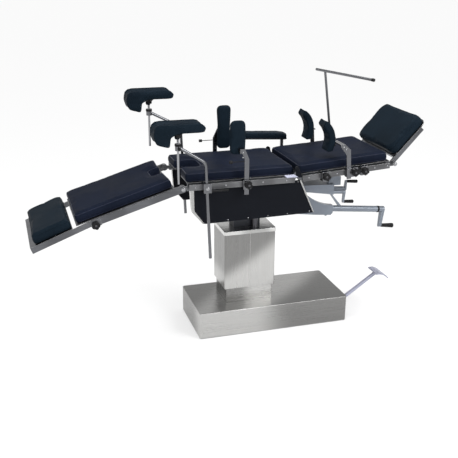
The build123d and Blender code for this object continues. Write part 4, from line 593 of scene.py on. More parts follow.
class Shapes:
    """Mesh makers that the sub-assemblies share."""

    @staticmethod
    def piece(name: str, mesh: bpy.types.Mesh, material: bpy.types.Material, body: str, slot: Slot,
              smooth: float = 35.0) -> bpy.types.Object:
        """Link a mesh as a piece of the table.

        Args:
            name: the piece's name.
            mesh: its mesh, in the table's frame.
            material: its finish.
            body: the body that it rides on.
            slot: the record's slot of its finish; not used.
            smooth: edges that turn less than this many degrees are shaded smooth.

        Returns:
            The linked object.
        """
        mesh.name = name
        obj = bpy.data.objects.new(name, mesh)
        bpy.context.scene.collection.objects.link(obj)
        mesh.materials.clear()
        mesh.materials.append(material)
        mesh.shade_smooth()
        mesh.set_sharp_from_angle(angle=math.radians(smooth))
        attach(obj, body)
        return obj

    @staticmethod
    def placed(axis: Vector, at: Vector) -> Matrix:
        """Return a matrix whose z lies along an axis, at a point."""
        return Matrix.Translation(at) @ axis.to_track_quat("Z", "Y").to_matrix().to_4x4()

    @staticmethod
    def _skin(
        form: bmesh.types.BMesh, pairs: Iterable[tuple[list[bmesh.types.BMVert], list[bmesh.types.BMVert]]]
    ) -> None:
        """Lay faces between each pair of rings.

        Args:
            form: the form that has the rings.
            pairs: a lower ring and an upper ring with as many points, for each band of faces.
        """
        for lower, upper in pairs:
            for step in range(len(lower)):
                following = (step + 1) % len(lower)
                form.faces.new((lower[step], lower[following], upper[following], upper[step]))

    @classmethod
    def close(cls, form: bmesh.types.BMesh, rings: Sequence[list[bmesh.types.BMVert]]) -> None:
        """Lay faces along rings of points and close the form at the first and the last.

        Args:
            form: the form that has the rings.
            rings: rings with as many points each, in order.
        """
        cls._skin(form, zip(rings, rings[1:]))
        form.faces.new(list(reversed(rings[0])))
        form.faces.new(rings[-1])

    @classmethod
    def lathe(
        cls, profile: Sequence[tuple[float, float]], place: Matrix, steps: int = 28
    ) -> bmesh.types.BMesh:
        """Turn a profile of (radius, height) points about z into a closed form.

        Args:
            profile: the points from one end to the other.
            place: where the turned form goes.
            steps: points round it.

        Returns:
            The form as a BMesh.
        """
        form = bmesh.new()
        rings = []
        for radius, height in profile:
            angles = [2 * math.pi * step / steps for step in range(steps)]
            rings.append([form.verts.new((radius * math.cos(a), radius * math.sin(a), height)) for a in angles])
        cls.close(form, rings)
        form.transform(place)
        return form

    @classmethod
    def ring_tube(cls, points: Sequence[Vector], radius: float, steps: int = 8) -> bmesh.types.BMesh:
        """Lay a round tube along points, back to its start.

        Args:
            points: the tube's centre line.
            radius: the tube's radius.
            steps: points round the tube.

        Returns:
            The tube as a BMesh.
        """
        form = bmesh.new()
        count = len(points)
        rings = []
        side = None
        for index, point in enumerate(points):
            ahead = (points[(index + 1) % count] - points[index - 1]).normalized()
            if side is None:
                side = ahead.orthogonal().normalized()
            else:
                side = (side - ahead * side.dot(ahead)).normalized()
            up = ahead.cross(side)
            angles = [2 * math.pi * step / steps for step in range(steps)]
            offsets = [radius * (side * math.cos(a) + up * math.sin(a)) for a in angles]
            rings.append([form.verts.new(point + offset) for offset in offsets])
        first, last = rings[0], rings[-1]
        shift = min(range(steps), key=lambda s: (first[s].co - last[0].co).length)
        cls._skin(form, [*zip(rings, rings[1:]), (last, first[shift:] + first[:shift])])
        return form

    @staticmethod
    def plate(
        outline: Sequence[tuple[float, float]], thick: float, place: Matrix, soft: float
    ) -> bmesh.types.BMesh:
        """Raise an outline into a plate with softened edges.

        Args:
            outline: its corners in the plane's x and y.
            thick: how thick it is along the plane's z.
            place: the plane.
            soft: the width of the softened edges.

        Returns:
            The plate as a BMesh.
        """
        form = bmesh.new()
        base = form.faces.new([form.verts.new((x, y, 0)) for x, y in outline])
        raised = bmesh.ops.extrude_face_region(form, geom=[base])["geom"]
        corners = [part for part in raised if isinstance(part, bmesh.types.BMVert)]
        bmesh.ops.translate(form, vec=(0, 0, thick), verts=corners)
        bmesh.ops.recalc_face_normals(form, faces=form.faces)
        bmesh.ops.bevel(form, geom=list(form.edges), offset=soft, segments=2, affect="EDGES",
                        clamp_overlap=True)
        form.transform(place)
        return form

    @staticmethod
    def joined(forms: Iterable[bmesh.types.BMesh], name: str) -> bpy.types.Mesh:
        """Put several forms in one mesh, and free them.

        Args:
            forms: the forms.
            name: the mesh's name.

        Returns:
            The mesh.
        """
        whole = bmesh.new()
        for form in forms:
            part = bpy.data.meshes.new("part")
            bmesh.ops.recalc_face_normals(form, faces=form.faces)
            form.to_mesh(part)
            form.free()
            whole.from_mesh(part)
            bpy.data.meshes.remove(part)
        mesh = bpy.data.meshes.new(name)
        whole.to_mesh(mesh)
        whole.free()
        return mesh

    @classmethod
    def screw(cls, at: Vector, out: Vector, radius: float) -> bmesh.types.BMesh:
        """Make a button-head screw with a recess.

        Args:
            at: the point of the surface under its head.
            out: the way that it faces.
            radius: its head's radius.

        Returns:
            The screw as a BMesh.
        """
        rim_shares = ((0.98, 0.0), (1.0, 0.12), (0.86, 0.42), (0.62, 0.56), (0.46, 0.58), (0.42, 0.56),
                      (0.38, 0.2))
        return cls.lathe([(r * radius, h * radius) for r, h in rim_shares], cls.placed(out, at), 18)

    @classmethod
    def hex_bolt(cls, at: Vector, out: Vector, radius: float) -> list[bmesh.types.BMesh]:
        """Make a hexagonal head on a washer.

        Args:
            at: the point of the surface under the washer.
            out: the way that it faces.
            radius: out to the head's corners.

        Returns:
            The washer and the head.
        """
        place = cls.placed(out, at)
        washer = cls.lathe([(1.25 * radius, 0.0), (1.3 * radius, 0.05 * radius), (1.2 * radius, 0.18 * radius)],
                           place, 24)
        corners = [(radius * math.cos(math.pi * k / 3), radius * math.sin(math.pi * k / 3)) for k in range(6)]
        above = place @ Matrix.Translation((0, 0, 0.17 * radius))
        head = cls.plate(corners, 0.62 * radius, above, 0.08 * radius)
        return [washer, head]

    @classmethod
    def star_knob(
        cls, at: Vector, out: Vector, radius: float, thick: float
    ) -> tuple[bpy.types.Mesh, bpy.types.Mesh]:
        """Make a hand knob's five-lobed body and its metal insert.

        Args:
            at: the middle of its back face.
            out: the way that it faces.
            radius: out to its lobes.
            thick: its thickness.

        Returns:
            The body's mesh and the insert's mesh.
        """
        place = cls.placed(out, at)
        levels = ((0.84, 0.0), (0.97, 0.08), (1.0, 0.25), (1.0, 0.7), (0.95, 0.9), (0.82, 0.98), (0.5, 1.0),
                  (0.34, 0.93), (0.30, 0.84))
        insert_levels = ((0.27, 0.8), (0.27, 0.9), (0.2, 0.93))
        lobes, hollow_share, steps = 5, 0.17, 60
        form = bmesh.new()
        rings = []
        for share, height in levels:
            ring = []
            for step in range(steps):
                angle = 2 * math.pi * step / steps
                wave = 0.5 + 0.5 * math.cos(lobes * angle)
                deep = hollow_share * (1 - wave ** 0.7) * min(1.0, max(0.0, (share - 0.3) / 0.4))
                reach = radius * share * (1 - deep)
                spot = (reach * math.cos(angle), reach * math.sin(angle), thick * height)
                ring.append(form.verts.new(spot))
            rings.append(ring)
        cls.close(form, rings)
        form.transform(place)
        insert = cls.lathe([(r * radius, h * thick) for r, h in insert_levels], place, 20)
        return cls.joined([form], "knob body"), cls.joined([insert], "knob insert")


@dataclass
class SoftPad:
    """A padded piece grown from its CAD solid: swollen, creased and edged with welts."""

    node: str
    section: Section
    finish: VinylFinish
    slot: Slot
    voxel: float = 0.007
    start_in: float = 0.003
    cap: float = 0.007
    fill: float = 0.75
    welts: tuple[tuple[Triple, float], ...] = ()
    welt_radius: float = 0.0022
    crease: float = 0.0006
    proud: float = 0.0015
    reach: tuple[float, float] = (0.0, 0.0)
    swell_steps: int = 20
    smooth: float = 80.0

    @classmethod
    def small(
        cls, node: str, section: Section, welts: tuple[tuple[Triple, float], ...], **changes: float
    ) -> SoftPad:
        """Plan an accessory's pad, finer than the table's own pads.

        Args:
            node: the CAD node that it stands for.
            section: the axes that it is made in.
            welts: the normal and the place of each welt's plane.
            changes: the fields that differ from a small pad's usual values.

        Returns:
            The planned pad.
        """
        values = {"voxel": 0.005, "cap": 0.006, "proud": 0.004, **changes}
        return cls(node, section, PAD_VINYL, Slot.PAD_VINYL, welts=welts, **values)

    def build(self, frame: dict, groups: SharedGroups) -> bpy.types.Object:
        """Make the pad and its welts.

        Args:
            groups: the shared shader groups.

        Returns:
            The pad.
        """
        name = self.node + "_cover"
        mesh = frame["nodes"][self.node].data.copy()
        mesh.transform(self.section.turn().inverted())
        mesh.materials.clear()
        low, high = self._limits(mesh)
        before, after = self.reach
        grow = (high.x - low.x + before + after) / (high.x - low.x)
        mesh.transform(Matrix.Translation((low.x - before, 0, 0)) @ Matrix.Diagonal((grow, 1, 1, 1))
                       @ Matrix.Translation((-low.x, 0, 0)))
        low, high = self._limits(mesh)
        form = bpy.data.objects.new("pad form", mesh)
        bpy.context.scene.collection.objects.link(form)
        grown = self._grown(form)
        grown = self._settled(grown, low, high)
        grown.transform(self.section.turn())
        pad = Shapes.piece(name, grown, self.finish.material(groups), self.section.body, self.slot,
                           self.smooth)
        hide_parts(self.node)
        self._sew(pad, low, high, groups)
        LOG.info("%s: %d points", name, len(grown.vertices))
        return pad

    @staticmethod
    def _read(mesh: bpy.types.Mesh, what: str) -> np.ndarray:
        """Read what a mesh has for each of its points.

        Args:
            mesh: the mesh.
            what: "co" for the places, "normal" for the normals.

        Returns:
            One row for each point.
        """
        values = np.zeros(len(mesh.vertices) * 3)
        mesh.vertices.foreach_get(what, values)
        return values.reshape(-1, 3)

    def _limits(self, mesh: bpy.types.Mesh) -> tuple[Vector, Vector]:
        """Return the mesh's lowest and highest corners."""
        points = self._read(mesh, "co")
        return Vector(points.min(0)), Vector(points.max(0))

    @staticmethod
    def _baked(obj: bpy.types.Object) -> bpy.types.Mesh:
        """Return the object's mesh with its modifiers applied."""
        graph = bpy.context.evaluated_depsgraph_get()
        return bpy.data.meshes.new_from_object(obj.evaluated_get(graph))

    def _grown(self, form: bpy.types.Object) -> bpy.types.Mesh:
        """Remesh the form, draw it in a little and let pressure swell it, then smooth it.

        Args:
            form: the pad's CAD form, which is used up.

        Returns:
            The grown mesh.
        """
        remesh = form.modifiers.new("Remesh", "REMESH")
        remesh.mode = "VOXEL"
        remesh.voxel_size = self.voxel
        even = form.modifiers.new("Even", "SMOOTH")
        even.iterations = 3
        form.data = self._baked(form)
        form.modifiers.clear()
        mesh = form.data
        drawn_in = self._read(mesh, "co") - self._read(mesh, "normal") * self.start_in
        mesh.vertices.foreach_set("co", drawn_in.ravel())
        mesh.update()
        self._swell(form)
        fine = form.modifiers.new("Finer", "SUBSURF")
        fine.levels = 1
        result = self._baked(form)
        bpy.data.objects.remove(form)
        return result

    def _swell(self, form: bpy.types.Object) -> None:
        """Run the cloth on the form and keep its result, no point moved further than the cap.

        Args:
            form: the remeshed form.
        """
        cloth = form.modifiers.new("Cloth", "CLOTH")
        settings = cloth.settings
        settings.quality = 4
        settings.mass = 0.3
        settings.tension_stiffness = 30.0
        settings.compression_stiffness = 30.0
        settings.bending_stiffness = 2.0
        settings.use_pressure = True
        settings.uniform_pressure_force = 4.0
        settings.effector_weights.gravity = 0.0
        cloth.point_cache.frame_start = 1
        cloth.point_cache.frame_end = self.swell_steps
        for step in range(1, self.swell_steps + 1):
            bpy.context.scene.frame_set(step)
        swollen = self._baked(form)
        start = self._read(form.data, "co")
        way = self._read(swollen, "co") - start
        length = np.linalg.norm(way, axis=1)[:, None]
        capped = start + way * np.minimum(1.0, self.cap / np.maximum(length, 1e-9))
        form.data.vertices.foreach_set("co", capped.ravel())
        bpy.data.meshes.remove(swollen)
        form.modifiers.clear()
        bpy.context.scene.frame_set(1)

    def _settled(self, mesh: bpy.types.Mesh, low: Vector, high: Vector) -> bpy.types.Mesh:
        """Give the pad slack creases, keep it in its room and flat on what carries it.

        Args:
            mesh: the grown pad, in the section's axes.
            low: the lowest corner of its room.
            high: the highest corner of its room.

        Returns:
            The mesh.
        """
        broad, fine, side_band = 26.0, 70.0, 20 * MM
        places = self._read(mesh, "co")
        waves = np.array([noise.noise(Vector(p) * broad) + 0.5 * noise.noise(Vector(p) * fine) for p in places])
        below_top = np.clip((high.z - places[:, 2]) / side_band, 0.0, 1.0)
        creased = self.crease * waves * (0.4 + 0.6 * below_top)
        places = places + self._read(mesh, "normal") * creased[:, None]
        floor = np.array(low) - np.array((self.proud, self.proud, 0.0))
        places = np.clip(places, floor, np.array(high) + self.proud)
        mesh.vertices.foreach_set("co", places.ravel())
        mesh.update()
        return mesh

    def _sew(self, pad: bpy.types.Object, low: Vector, high: Vector, groups: SharedGroups) -> None:
        """Lay welts round the pad where planes of its section cut it.

        Args:
            pad: the pad.
            low: the lowest corner of its room.
            high: the highest corner of its room.
            groups: the shared shader groups.
        """
        # The navy pads' welts take a lighter vinyl, a painted highlight along their edges.
        finish = HIGHLIGHT_WELT_VINYL if self.finish is SEAT_VINYL else self.finish
        forms = []
        for normal, share in self.welts:
            way = Vector(normal)
            start = Vector([low[k] + share * (high[k] - low[k]) for k in range(3)])
            world_way = self.section.turn().to_3x3() @ way
            for loop in self._contours(pad.data, self.section.turn() @ start, world_way):
                forms.append(Shapes.ring_tube(loop, self.welt_radius))
        if forms:
            welt = Shapes.piece(self.node + "_welt", Shapes.joined(forms, "welt"), finish.material(groups),
                                self.section.body, self.slot, self.smooth)
            LOG.info("%s: %d seams", welt.name, len(forms))

    @staticmethod
    def _contours(mesh: bpy.types.Mesh, point: Vector, normal: Vector) -> list[list[Vector]]:
        """Find the closed lines where a plane cuts a mesh, and even and smooth them.

        Args:
            mesh: the mesh.
            point: a point of the plane.
            normal: the plane's normal.

        Returns:
            The points of each line.
        """
        fewest, rounds, spacing = 24, 6, 6 * MM
        form = bmesh.new()
        form.from_mesh(mesh)
        everything = form.verts[:] + form.edges[:] + form.faces[:]
        cut = bmesh.ops.bisect_plane(form, geom=everything, plane_co=point, plane_no=normal)["geom_cut"]
        edges = dict.fromkeys(part for part in cut if isinstance(part, bmesh.types.BMEdge))
        loops = []
        while edges:
            edge, _ = edges.popitem()
            line = [edge.verts[0], edge.verts[1]]
            while True:
                ahead = [e for e in line[-1].link_edges if e in edges]
                if not ahead:
                    break
                del edges[ahead[0]]
                line.append(ahead[0].other_vert(line[-1]))
            points = np.array([v.co for v in line[:-1]])
            if len(points) < fewest:
                continue
            for _ in range(rounds):
                points = 0.5 * points + 0.25 * (np.roll(points, 1, 0) + np.roll(points, -1, 0))
            steps = np.linalg.norm(np.roll(points, -1, 0) - points, axis=1)
            walked = np.concatenate([[0], np.cumsum(steps)])
            places = np.linspace(0, walked[-1], max(fewest, int(walked[-1] / spacing)), endpoint=False)
            ring = np.vstack([points, points[:1]])
            loops.append([Vector([np.interp(at, walked, ring[:, k]) for k in range(3)]) for at in places])
        form.free()
        return loops


@dataclass
class Workshop:
    """What every sub-assembly needs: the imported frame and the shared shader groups."""

    frame: dict
    groups: SharedGroups
    made: list[str] = field(default_factory=list)

    def dress(self, node: str, finish: Finish, *others: tuple[Finish, Callable[[Vector], bool]]) -> None:
        """Give a CAD node its finish, and other finishes to the faces that a test picks.

        Args:
            node: the node's name.
            finish: the finish of all its faces that no test picks.
            others: a finish and a test of a face's middle, in metres, for each other finish.
        """
        mesh = self.frame["nodes"][node].data
        mesh.materials.clear()
        mesh.materials.append(finish.material(self.groups))
        choice = np.zeros(len(mesh.polygons), dtype=np.int32)
        for index, (other, test) in enumerate(others, 1):
            mesh.materials.append(other.material(self.groups))
            for face in mesh.polygons:
                if test(face.center):
                    choice[face.index] = index
        mesh.polygons.foreach_set("material_index", choice)
        LOG.info("%s: %s", node, finish.name)

    def add(self, name: str, forms: Iterable[bmesh.types.BMesh], finish: Finish, body: str, slot: Slot,
            smooth: float = 35.0) -> bpy.types.Object:
        """Join forms into a new piece of the table and report it.

        Args:
            name: the piece's name.
            forms: what it is made of.
            finish: its finish.
            body: the body that it rides on.
            slot: the record's slot of its finish.
            smooth: edges that turn less than this many degrees are shaded smooth.

        Returns:
            The piece.
        """
        made = Shapes.piece(name, Shapes.joined(forms, name), finish.material(self.groups), body, slot, smooth)
        self.made.append(name)
        LOG.info("%s: %d faces on %s", name, len(made.data.polygons), body)
        return made

    def knob(self, name: str, section: Section, place: Triple, side: int, body: str, node: str | None = None,
             radius: float = 21.5 * MM, thick: float = 18 * MM) -> None:
        """Put a rounded hand knob where a node is, or a crowned face on a knob that a clamp's node has.

        Args:
            name: the piece's name.
            section: the section whose axes the place is given in.
            place: the middle of the knob's back, in metres.
            side: NEAR or FAR.
            body: the body that it rides on.
            node: the CAD node that it stands for, where it stands for one.
            radius: out to the knob's lobes.
            thick: the knob's thickness.
        """
        at = section.point(*place)
        out = Vector((0, side, 0))
        if node:
            body_mesh, insert = Shapes.star_knob(at, out, radius, thick)
            knob = Shapes.piece(name, body_mesh, BLACK_PLASTIC.material(self.groups), body, Slot.KNOB, 50.0)
            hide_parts(node)
            stud_profile = [mm(4, -20), mm(4, 0.5)]
            stud = Shapes.lathe(stud_profile, Shapes.placed(out, at), 16)
            self.add(name + "_stud", [stud], CHROME, body, Slot.CHROME)
        else:
            face = Shapes.placed(out, at + out * thick)
            crown_profile = [(0.60 * radius, 0.0), (0.60 * radius, 0.6 * MM), (0.50 * radius, 1.6 * MM),
                             (0.30 * radius, 2.0 * MM)]
            insert_profile = [(0.24 * radius, 0), (0.24 * radius, 2.4 * MM), (0.18 * radius, 2.8 * MM)]
            self.add(name, [Shapes.lathe(crown_profile, face, 40)], BLACK_PLASTIC, body, Slot.KNOB, 60.0)
            insert = Shapes.joined([Shapes.lathe(insert_profile, face, 20)], "insert")
        metal = Shapes.piece(name + "_insert", insert, DARK_STEEL.material(self.groups), body, Slot.IRON)
        LOG.info("%s and %s on %s", name, metal.name, body)


SEAT = Section("seat", Vector((0, 0, 0)))
BACK = Section("back", Vector((212, 0, 937)) * MM, 4.0)
HEAD = Section("head", Vector((781.4, 0, 921.7)) * MM, 47.0)
LEG = Section("leg", Vector((-402, 0, 874)) * MM, 17.0)
FOOT = Section("foot", LEG.point(-500 * MM, 0, 0), 21.3)


@dataclass
class BaseAndColumn:
    """The low box base with its pump pedal, and the column that lifts out of it."""

    cover_half_depth: float = 111 * MM
    screw_out: float = 134.32 * MM
    screw_radius: float = 4.2 * MM
    screw_heights: tuple[float, ...] = mm(262, 400, 530)
    rivet: Triple = mm(784, -90, 217.5)
    rivet_radius: float = 5 * MM

    def build(self, shop: Workshop) -> None:
        """Dress the base, the pedal and the column, and add their fittings.

        Args:
            shop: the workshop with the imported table.
        """
        for node, finish in {
            "base_cover": BASE_SHEET, "base_chassis": DARK_STEEL, "levelling_feet": BLACK_RUBBER,
            "column_sleeve": SLEEVE_SHEET, "cylinder_block": PUMP_ENAMEL, "pump_unit": PUMP_ENAMEL,
            "lift_ram": CHROME, "guide_rods": CHROME, "column_head_plate": DARK_STEEL,
            "foot_side_cover": COVER_SHEET, "head_side_cover": COVER_SHEET, "column_cap": CAP_SHEET,
            "pump_pedal": PEDAL_ENAMEL,
        }.items():
            shop.dress(node, finish)
        self._cover_screws(shop)
        self._tread(shop)

    def _cover_screws(self, shop: Workshop) -> None:
        """Screw the column's two half covers to their frame on the far side.

        Args:
            shop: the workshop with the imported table.
        """
        forms = []
        for along in (-self.screw_out, self.screw_out):
            for height in self.screw_heights:
                at = Vector((along, self.cover_half_depth, height))
                forms.append(Shapes.screw(at, Vector((0, 1, 0)), self.screw_radius))
        shop.add("column_cover_screws", forms, CHROME, "column_head", Slot.CHROME)

    def _tread(self, shop: Workshop) -> None:
        """Rivet the pedal's tread to its bar."""
        rivet = Shapes.screw(Vector(self.rivet), Vector((0, 0, 1)), self.rivet_radius)
        shop.add("pedal_rivet", [rivet], CHROME, "pedal", Slot.CHROME)


class TiltingHead:
    """The turret, the side-tilt jack and the cradle that the top turns on."""

    def build(self, shop: Workshop) -> None:
        """Dress the castings and the jack.

        Args:
            shop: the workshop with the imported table.
        """
        for node, finish in {
            "turret": CAST_ENAMEL, "side_jack_barrel": DARK_STEEL, "side_jack_rod": ROD_STEEL,
            "tilt_cradle": CAST_ENAMEL, "cradle_pins": CHROME, "table_tilt_sector": DARK_STEEL,
        }.items():
            shop.dress(node, finish)


@dataclass
class SideSkirts:
    """The black skirts that hide the drives, with their bright edging and screws."""

    outer: float = 217 * MM
    edge_width: float = 22 * MM
    edge_thick: float = 1.3 * MM
    edge_back: float = 1.2 * MM
    screw_radius: float = 3.6 * MM
    top_screw_height: float = 861 * MM
    top_screws: tuple[float, ...] = mm(-330, -235, -140, -45, 50, 145, 225)
    bottom_screws: Pairs = (
        mm(-272, 683), mm(-160, 684.5), mm(-50, 686), mm(60, 687.5), mm(170, 689), mm(296, 691),
    )
    foot_edge: Pairs = (
        mm(-362, 868), mm(-359.5, 830), mm(-357, 790), mm(-354.5, 756), mm(-352, 742), mm(-344, 732),
        mm(-322, 706), mm(-301, 681), mm(-294, 674.5),
    )
    narrowing: float = 0.35
    lip_widths: tuple[float, ...] = mm(19, 17, 15, 13, 12, 11, 9, 7, 5)
    slant: float = 0.45
    slanted_from: int = 4
    foot_soft: float = 0.25 * MM
    head_edge: Pairs = (mm(243, 868), mm(322.4, 684))
    lip_width: tuple[float, float] = mm(9, 5)
    head_soft: float = 0.3 * MM

    def build(self, shop: Workshop) -> None:
        """Dress the skirts and add the edging and the screws on both sides.

        Args:
            shop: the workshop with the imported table.
        """
        shop.dress("side_skirts", SKIRT_ENAMEL)
        for side, name in SIDE_NAMES.items():
            edging = [self._foot_band(side), self._foot_lip(side)]
            shop.add(f"{name}_foot_edging", edging, CAP_SHEET, "seat", Slot.STAINLESS, 50)
            shop.add(f"{name}_head_edging", [self._head_lip(side)], CAP_SHEET, "seat", Slot.STAINLESS)
            out = Vector((0, side, 0))
            spots = [(x, self.top_screw_height) for x in self.top_screws] + list(self.bottom_screws)
            forms = [Shapes.screw(Vector((x, side * self.outer, z)), out, self.screw_radius) for x, z in spots]
            shop.add(f"{name}_skirt_screws", forms, CHROME, "seat", Slot.CHROME)

    def _foot_band(self, side: int) -> bmesh.types.BMesh:
        """Bend the strip round the skirt's foot edge, wide at its top and narrow below.

        Args:
            side: NEAR or FAR.

        Returns:
            The strip's leg that lies round the edge.
        """
        form = bmesh.new()
        rings = []
        last = len(self.foot_edge) - 1
        back = -self.edge_back
        for index, (x, z) in enumerate(self.foot_edge):
            ahead = Vector(self.foot_edge[min(index + 1, last)]) - Vector(self.foot_edge[max(index - 1, 0)])
            out = Vector((ahead.y, -ahead.x)).normalized() * self.edge_thick
            wide = self.edge_width * (1 - self.narrowing * index / last)
            corners = [(0, 0), (0, wide), (1, wide), (1, back), (0, back)]
            rings.append([
                form.verts.new((x + out.x * share, side * (self.outer - deep), z + out.y * share))
                for share, deep in corners
            ])
        Shapes.close(form, rings)
        return form

    def _foot_lip(self, side: int) -> bmesh.types.BMesh:
        """Lay the strip's outer leg on the skirt's face, wide at its top and narrow below.

        Args:
            side: NEAR or FAR.

        Returns:
            The strip's outer leg.
        """
        inner = []
        for index, ((x, z), wide) in enumerate(zip(self.foot_edge, self.lip_widths)):
            inner.append((x + wide, z + self.slant * wide * (index >= self.slanted_from)))
        return self._on_face(list(self.foot_edge) + inner[::-1], side, self.foot_soft)

    def _head_lip(self, side: int) -> bmesh.types.BMesh:
        """Lay the slanted strip along the skirt's head edge, on its outer face.

        Args:
            side: NEAR or FAR.

        Returns:
            The strip.
        """
        (top_x, top_z), (low_x, low_z) = self.head_edge
        wide, narrow = self.lip_width
        corners = [(top_x - wide, top_z), (top_x, top_z), (low_x, low_z), (low_x - narrow, low_z)]
        return self._on_face(corners, side, self.head_soft)

    def _on_face(self, outline: list[tuple[float, float]], side: int, soft: float) -> bmesh.types.BMesh:
        """Raise an outline of (x, z) points from a skirt's outer face."""
        place = Matrix.Translation((0, side * self.outer, 0)) @ Matrix.Rotation(math.pi / 2, 4, "X")
        return Shapes.plate(outline, -side * self.edge_thick, place, soft)


@dataclass
class TopSection:
    """A section of the top: its frame, rails, rail bolts and pad."""

    section: Section
    frame_node: str
    pad: SoftPad
    rails_node: str | None = None
    bolts: Pairs = ()
    bolt_out: float = 242 * MM
    bolt_radius: float = 4.6 * MM
    ears: Callable[[Vector], bool] | None = None

    def build(self, shop: Workshop) -> None:
        """Dress the frame, screw the rails on and make the pad.

        Args:
            shop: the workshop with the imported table.
        """
        others = [(SKIRT_ENAMEL, self.ears)] if self.ears else []
        shop.dress(self.frame_node, FRAME_STEEL, *others)
        if self.rails_node:
            shop.dress(self.rails_node, RAIL_STEEL)
        if self.bolts:
            forms = []
            for side in (NEAR, FAR):
                for along, up in self.bolts:
                    at = self.section.point(along, side * self.bolt_out, up)
                    forms.append(Shapes.screw(at, Vector((0, side, 0)), self.bolt_radius))
            shop.add(f"{self.section.body}_rail_bolts", forms, CHROME, self.section.body, Slot.CHROME)
        self.pad.build(shop.frame, shop.groups)


@dataclass
class Junctions:
    """The plates and hinge bolts where the sections meet."""

    leg_hinge_out: float = 235 * MM
    head_hinge_out: float = 234 * MM
    hinge_radius: float = 9 * MM
    plate_foot: tuple[float, float] = mm(251, 896)
    plate_lean: float = math.radians(52)
    plate_thick: float = 2 * MM
    plate_soft: float = 0.5 * MM
    plate_outline: Pairs = (mm(148, 0), mm(212, 0), mm(190, 17), mm(134, 17))

    def build(self, shop: Workshop) -> None:
        """Bolt the hinges and lean the bright plates from the rails against the seat's pad.

        Args:
            shop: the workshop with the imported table.
        """
        for side, name in SIDE_NAMES.items():
            hinges = ((LEG, self.leg_hinge_out), (HEAD, self.head_hinge_out))
            for section, reach in hinges:
                at = Vector((section.origin.x, side * reach, section.origin.z))
                bolt = Shapes.hex_bolt(at, Vector((0, side, 0)), self.hinge_radius)
                shop.add(f"{name}_{section.body}_hinge_bolt", bolt, CHROME, section.body, Slot.CHROME)
            out, up = self.plate_foot
            place = Matrix.Translation((0, side * out, up)) @ Matrix.Rotation(-side * self.plate_lean, 4, "X")
            outline = list(self.plate_outline)
            if side == FAR:
                outline = [(x, -y) for x, y in reversed(outline)]
            plate = Shapes.plate(outline, self.plate_thick, place, self.plate_soft)
            shop.add(f"{name}_rail_plate", [plate], PEDAL_ENAMEL, "seat", Slot.STAINLESS)


@dataclass(frozen=True)
class Crank:
    """A drive's crank: its shaft line, its arm and where the grip runs along the line."""

    node: str
    body: str
    origin: Triple
    fall: float
    arm: float
    grip: tuple[float, float]
    radii: tuple[float, float]

    def line(self, along: float, off: float) -> Vector:
        """Return a point beside the shaft's line.

        Args:
            along: how far along the line.
            off: how far off it, towards the crank's arm.

        Returns:
            The point.
        """
        turn = math.radians(self.fall)
        ahead = Vector((math.cos(turn), 0, -math.sin(turn)))
        down = Vector((-math.sin(turn), 0, -math.cos(turn)))
        return Vector(self.origin) + ahead * along + down * off

    def ahead(self) -> Vector:
        """Return the direction of the shaft's line."""
        return (self.line(1, 0) - self.line(0, 0)).normalized()

    def holds(self, place: Vector) -> bool:
        """Tell whether a point of the node is on its grip.

        Args:
            place: the point.

        Returns:
            True on the grip.
        """
        slack, reach = mm(1, 20)
        off = place - Vector(self.origin)
        down = (self.line(0, 1) - self.line(0, 0)).dot(off)
        return self.ahead().dot(off) > self.grip[0] - slack and abs(down - self.arm) < reach

    def sleeve(self) -> list[bmesh.types.BMesh]:
        """Turn the ribbed sleeve over the grip.

        Returns:
            The sleeve.
        """
        fewest, pitch = 4, 9 * MM
        length = self.grip[1] - self.grip[0]
        narrow, wide = self.radii
        profile = [(0.7 * narrow, -0.6 * MM)]
        ribs = max(fewest, int(length / pitch))
        for rib in range(ribs):
            for share, proud in ((0.04, 0.3), (0.18, 1.0), (0.78, 1.0), (0.93, 0.3)):
                at = (rib + share) / ribs
                profile.append((narrow + (wide - narrow) * at + proud * MM, at * length))
        profile += [(0.86 * wide, length + 1.6 * MM), (0.45 * wide, length + 2.6 * MM)]
        return [Shapes.lathe(profile, Shapes.placed(self.ahead(), self.line(self.grip[0], self.arm)), 28)]


@dataclass
class Drives:
    """The arms under the top, the three crank shafts and their grips."""

    cranks: tuple[Crank, ...] = (
        Crank("table_tilt_crank", "big_crank", mm(-12.4, -104, 706), 5.9, 97 * MM, mm(817.8, 893.5),
              mm(9, 12.5)),
        Crank("back_crank", "near_crank", mm(476, -104, 752.5), 4.3, 57 * MM, mm(78.3, 134), mm(7.5, 9)),
        Crank("side_tilt_crank", "far_crank", mm(476, -20, 748), 4.8, -42 * MM, mm(122.3, 186), mm(7.5, 9)),
    )
    ring_at: tuple[float, float] = mm(773, 784)
    ring_radius: float = 18.6 * MM
    bolt_past: float = 2.2 * MM

    def build(self, shop: Workshop) -> None:
        """Dress the arms and cranks and sleeve the grips.

        Args:
            shop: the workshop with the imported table.
        """
        for node in ("lower_arm", "upper_arm", "shaft_tubes"):
            shop.dress(node, ARM_ENAMEL)
        big = self.cranks[0]
        low, high = self.ring_at
        long, radius = high - low, self.ring_radius
        soft_long, soft_round = mm(0.6, 1.2)
        profile = [(radius - soft_round, 0), (radius, soft_long), (radius, long - soft_long),
                   (radius - soft_round, long)]
        ring = Shapes.lathe(profile, Shapes.placed(big.ahead(), big.line(low, 0)), 40)
        shop.add("big_shaft_ring", [ring], BLACK_PLASTIC, "seat", Slot.KNOB)
        for crank in self.cranks:
            shop.dress(crank.node, ARM_ENAMEL, (BLACK_PLASTIC, crank.holds))
            shop.add(f"{crank.body}_grip_sleeve", crank.sleeve(), BLACK_PLASTIC, crank.body, Slot.KNOB, 40)
            end = crank.line(crank.grip[1] + self.bolt_past, crank.arm)
            bolt = Shapes.screw(end, crank.ahead(), 0.36 * crank.radii[1])
            shop.add(f"{crank.body}_grip_bolt", [bolt], CHROME, crank.body, Slot.CHROME)


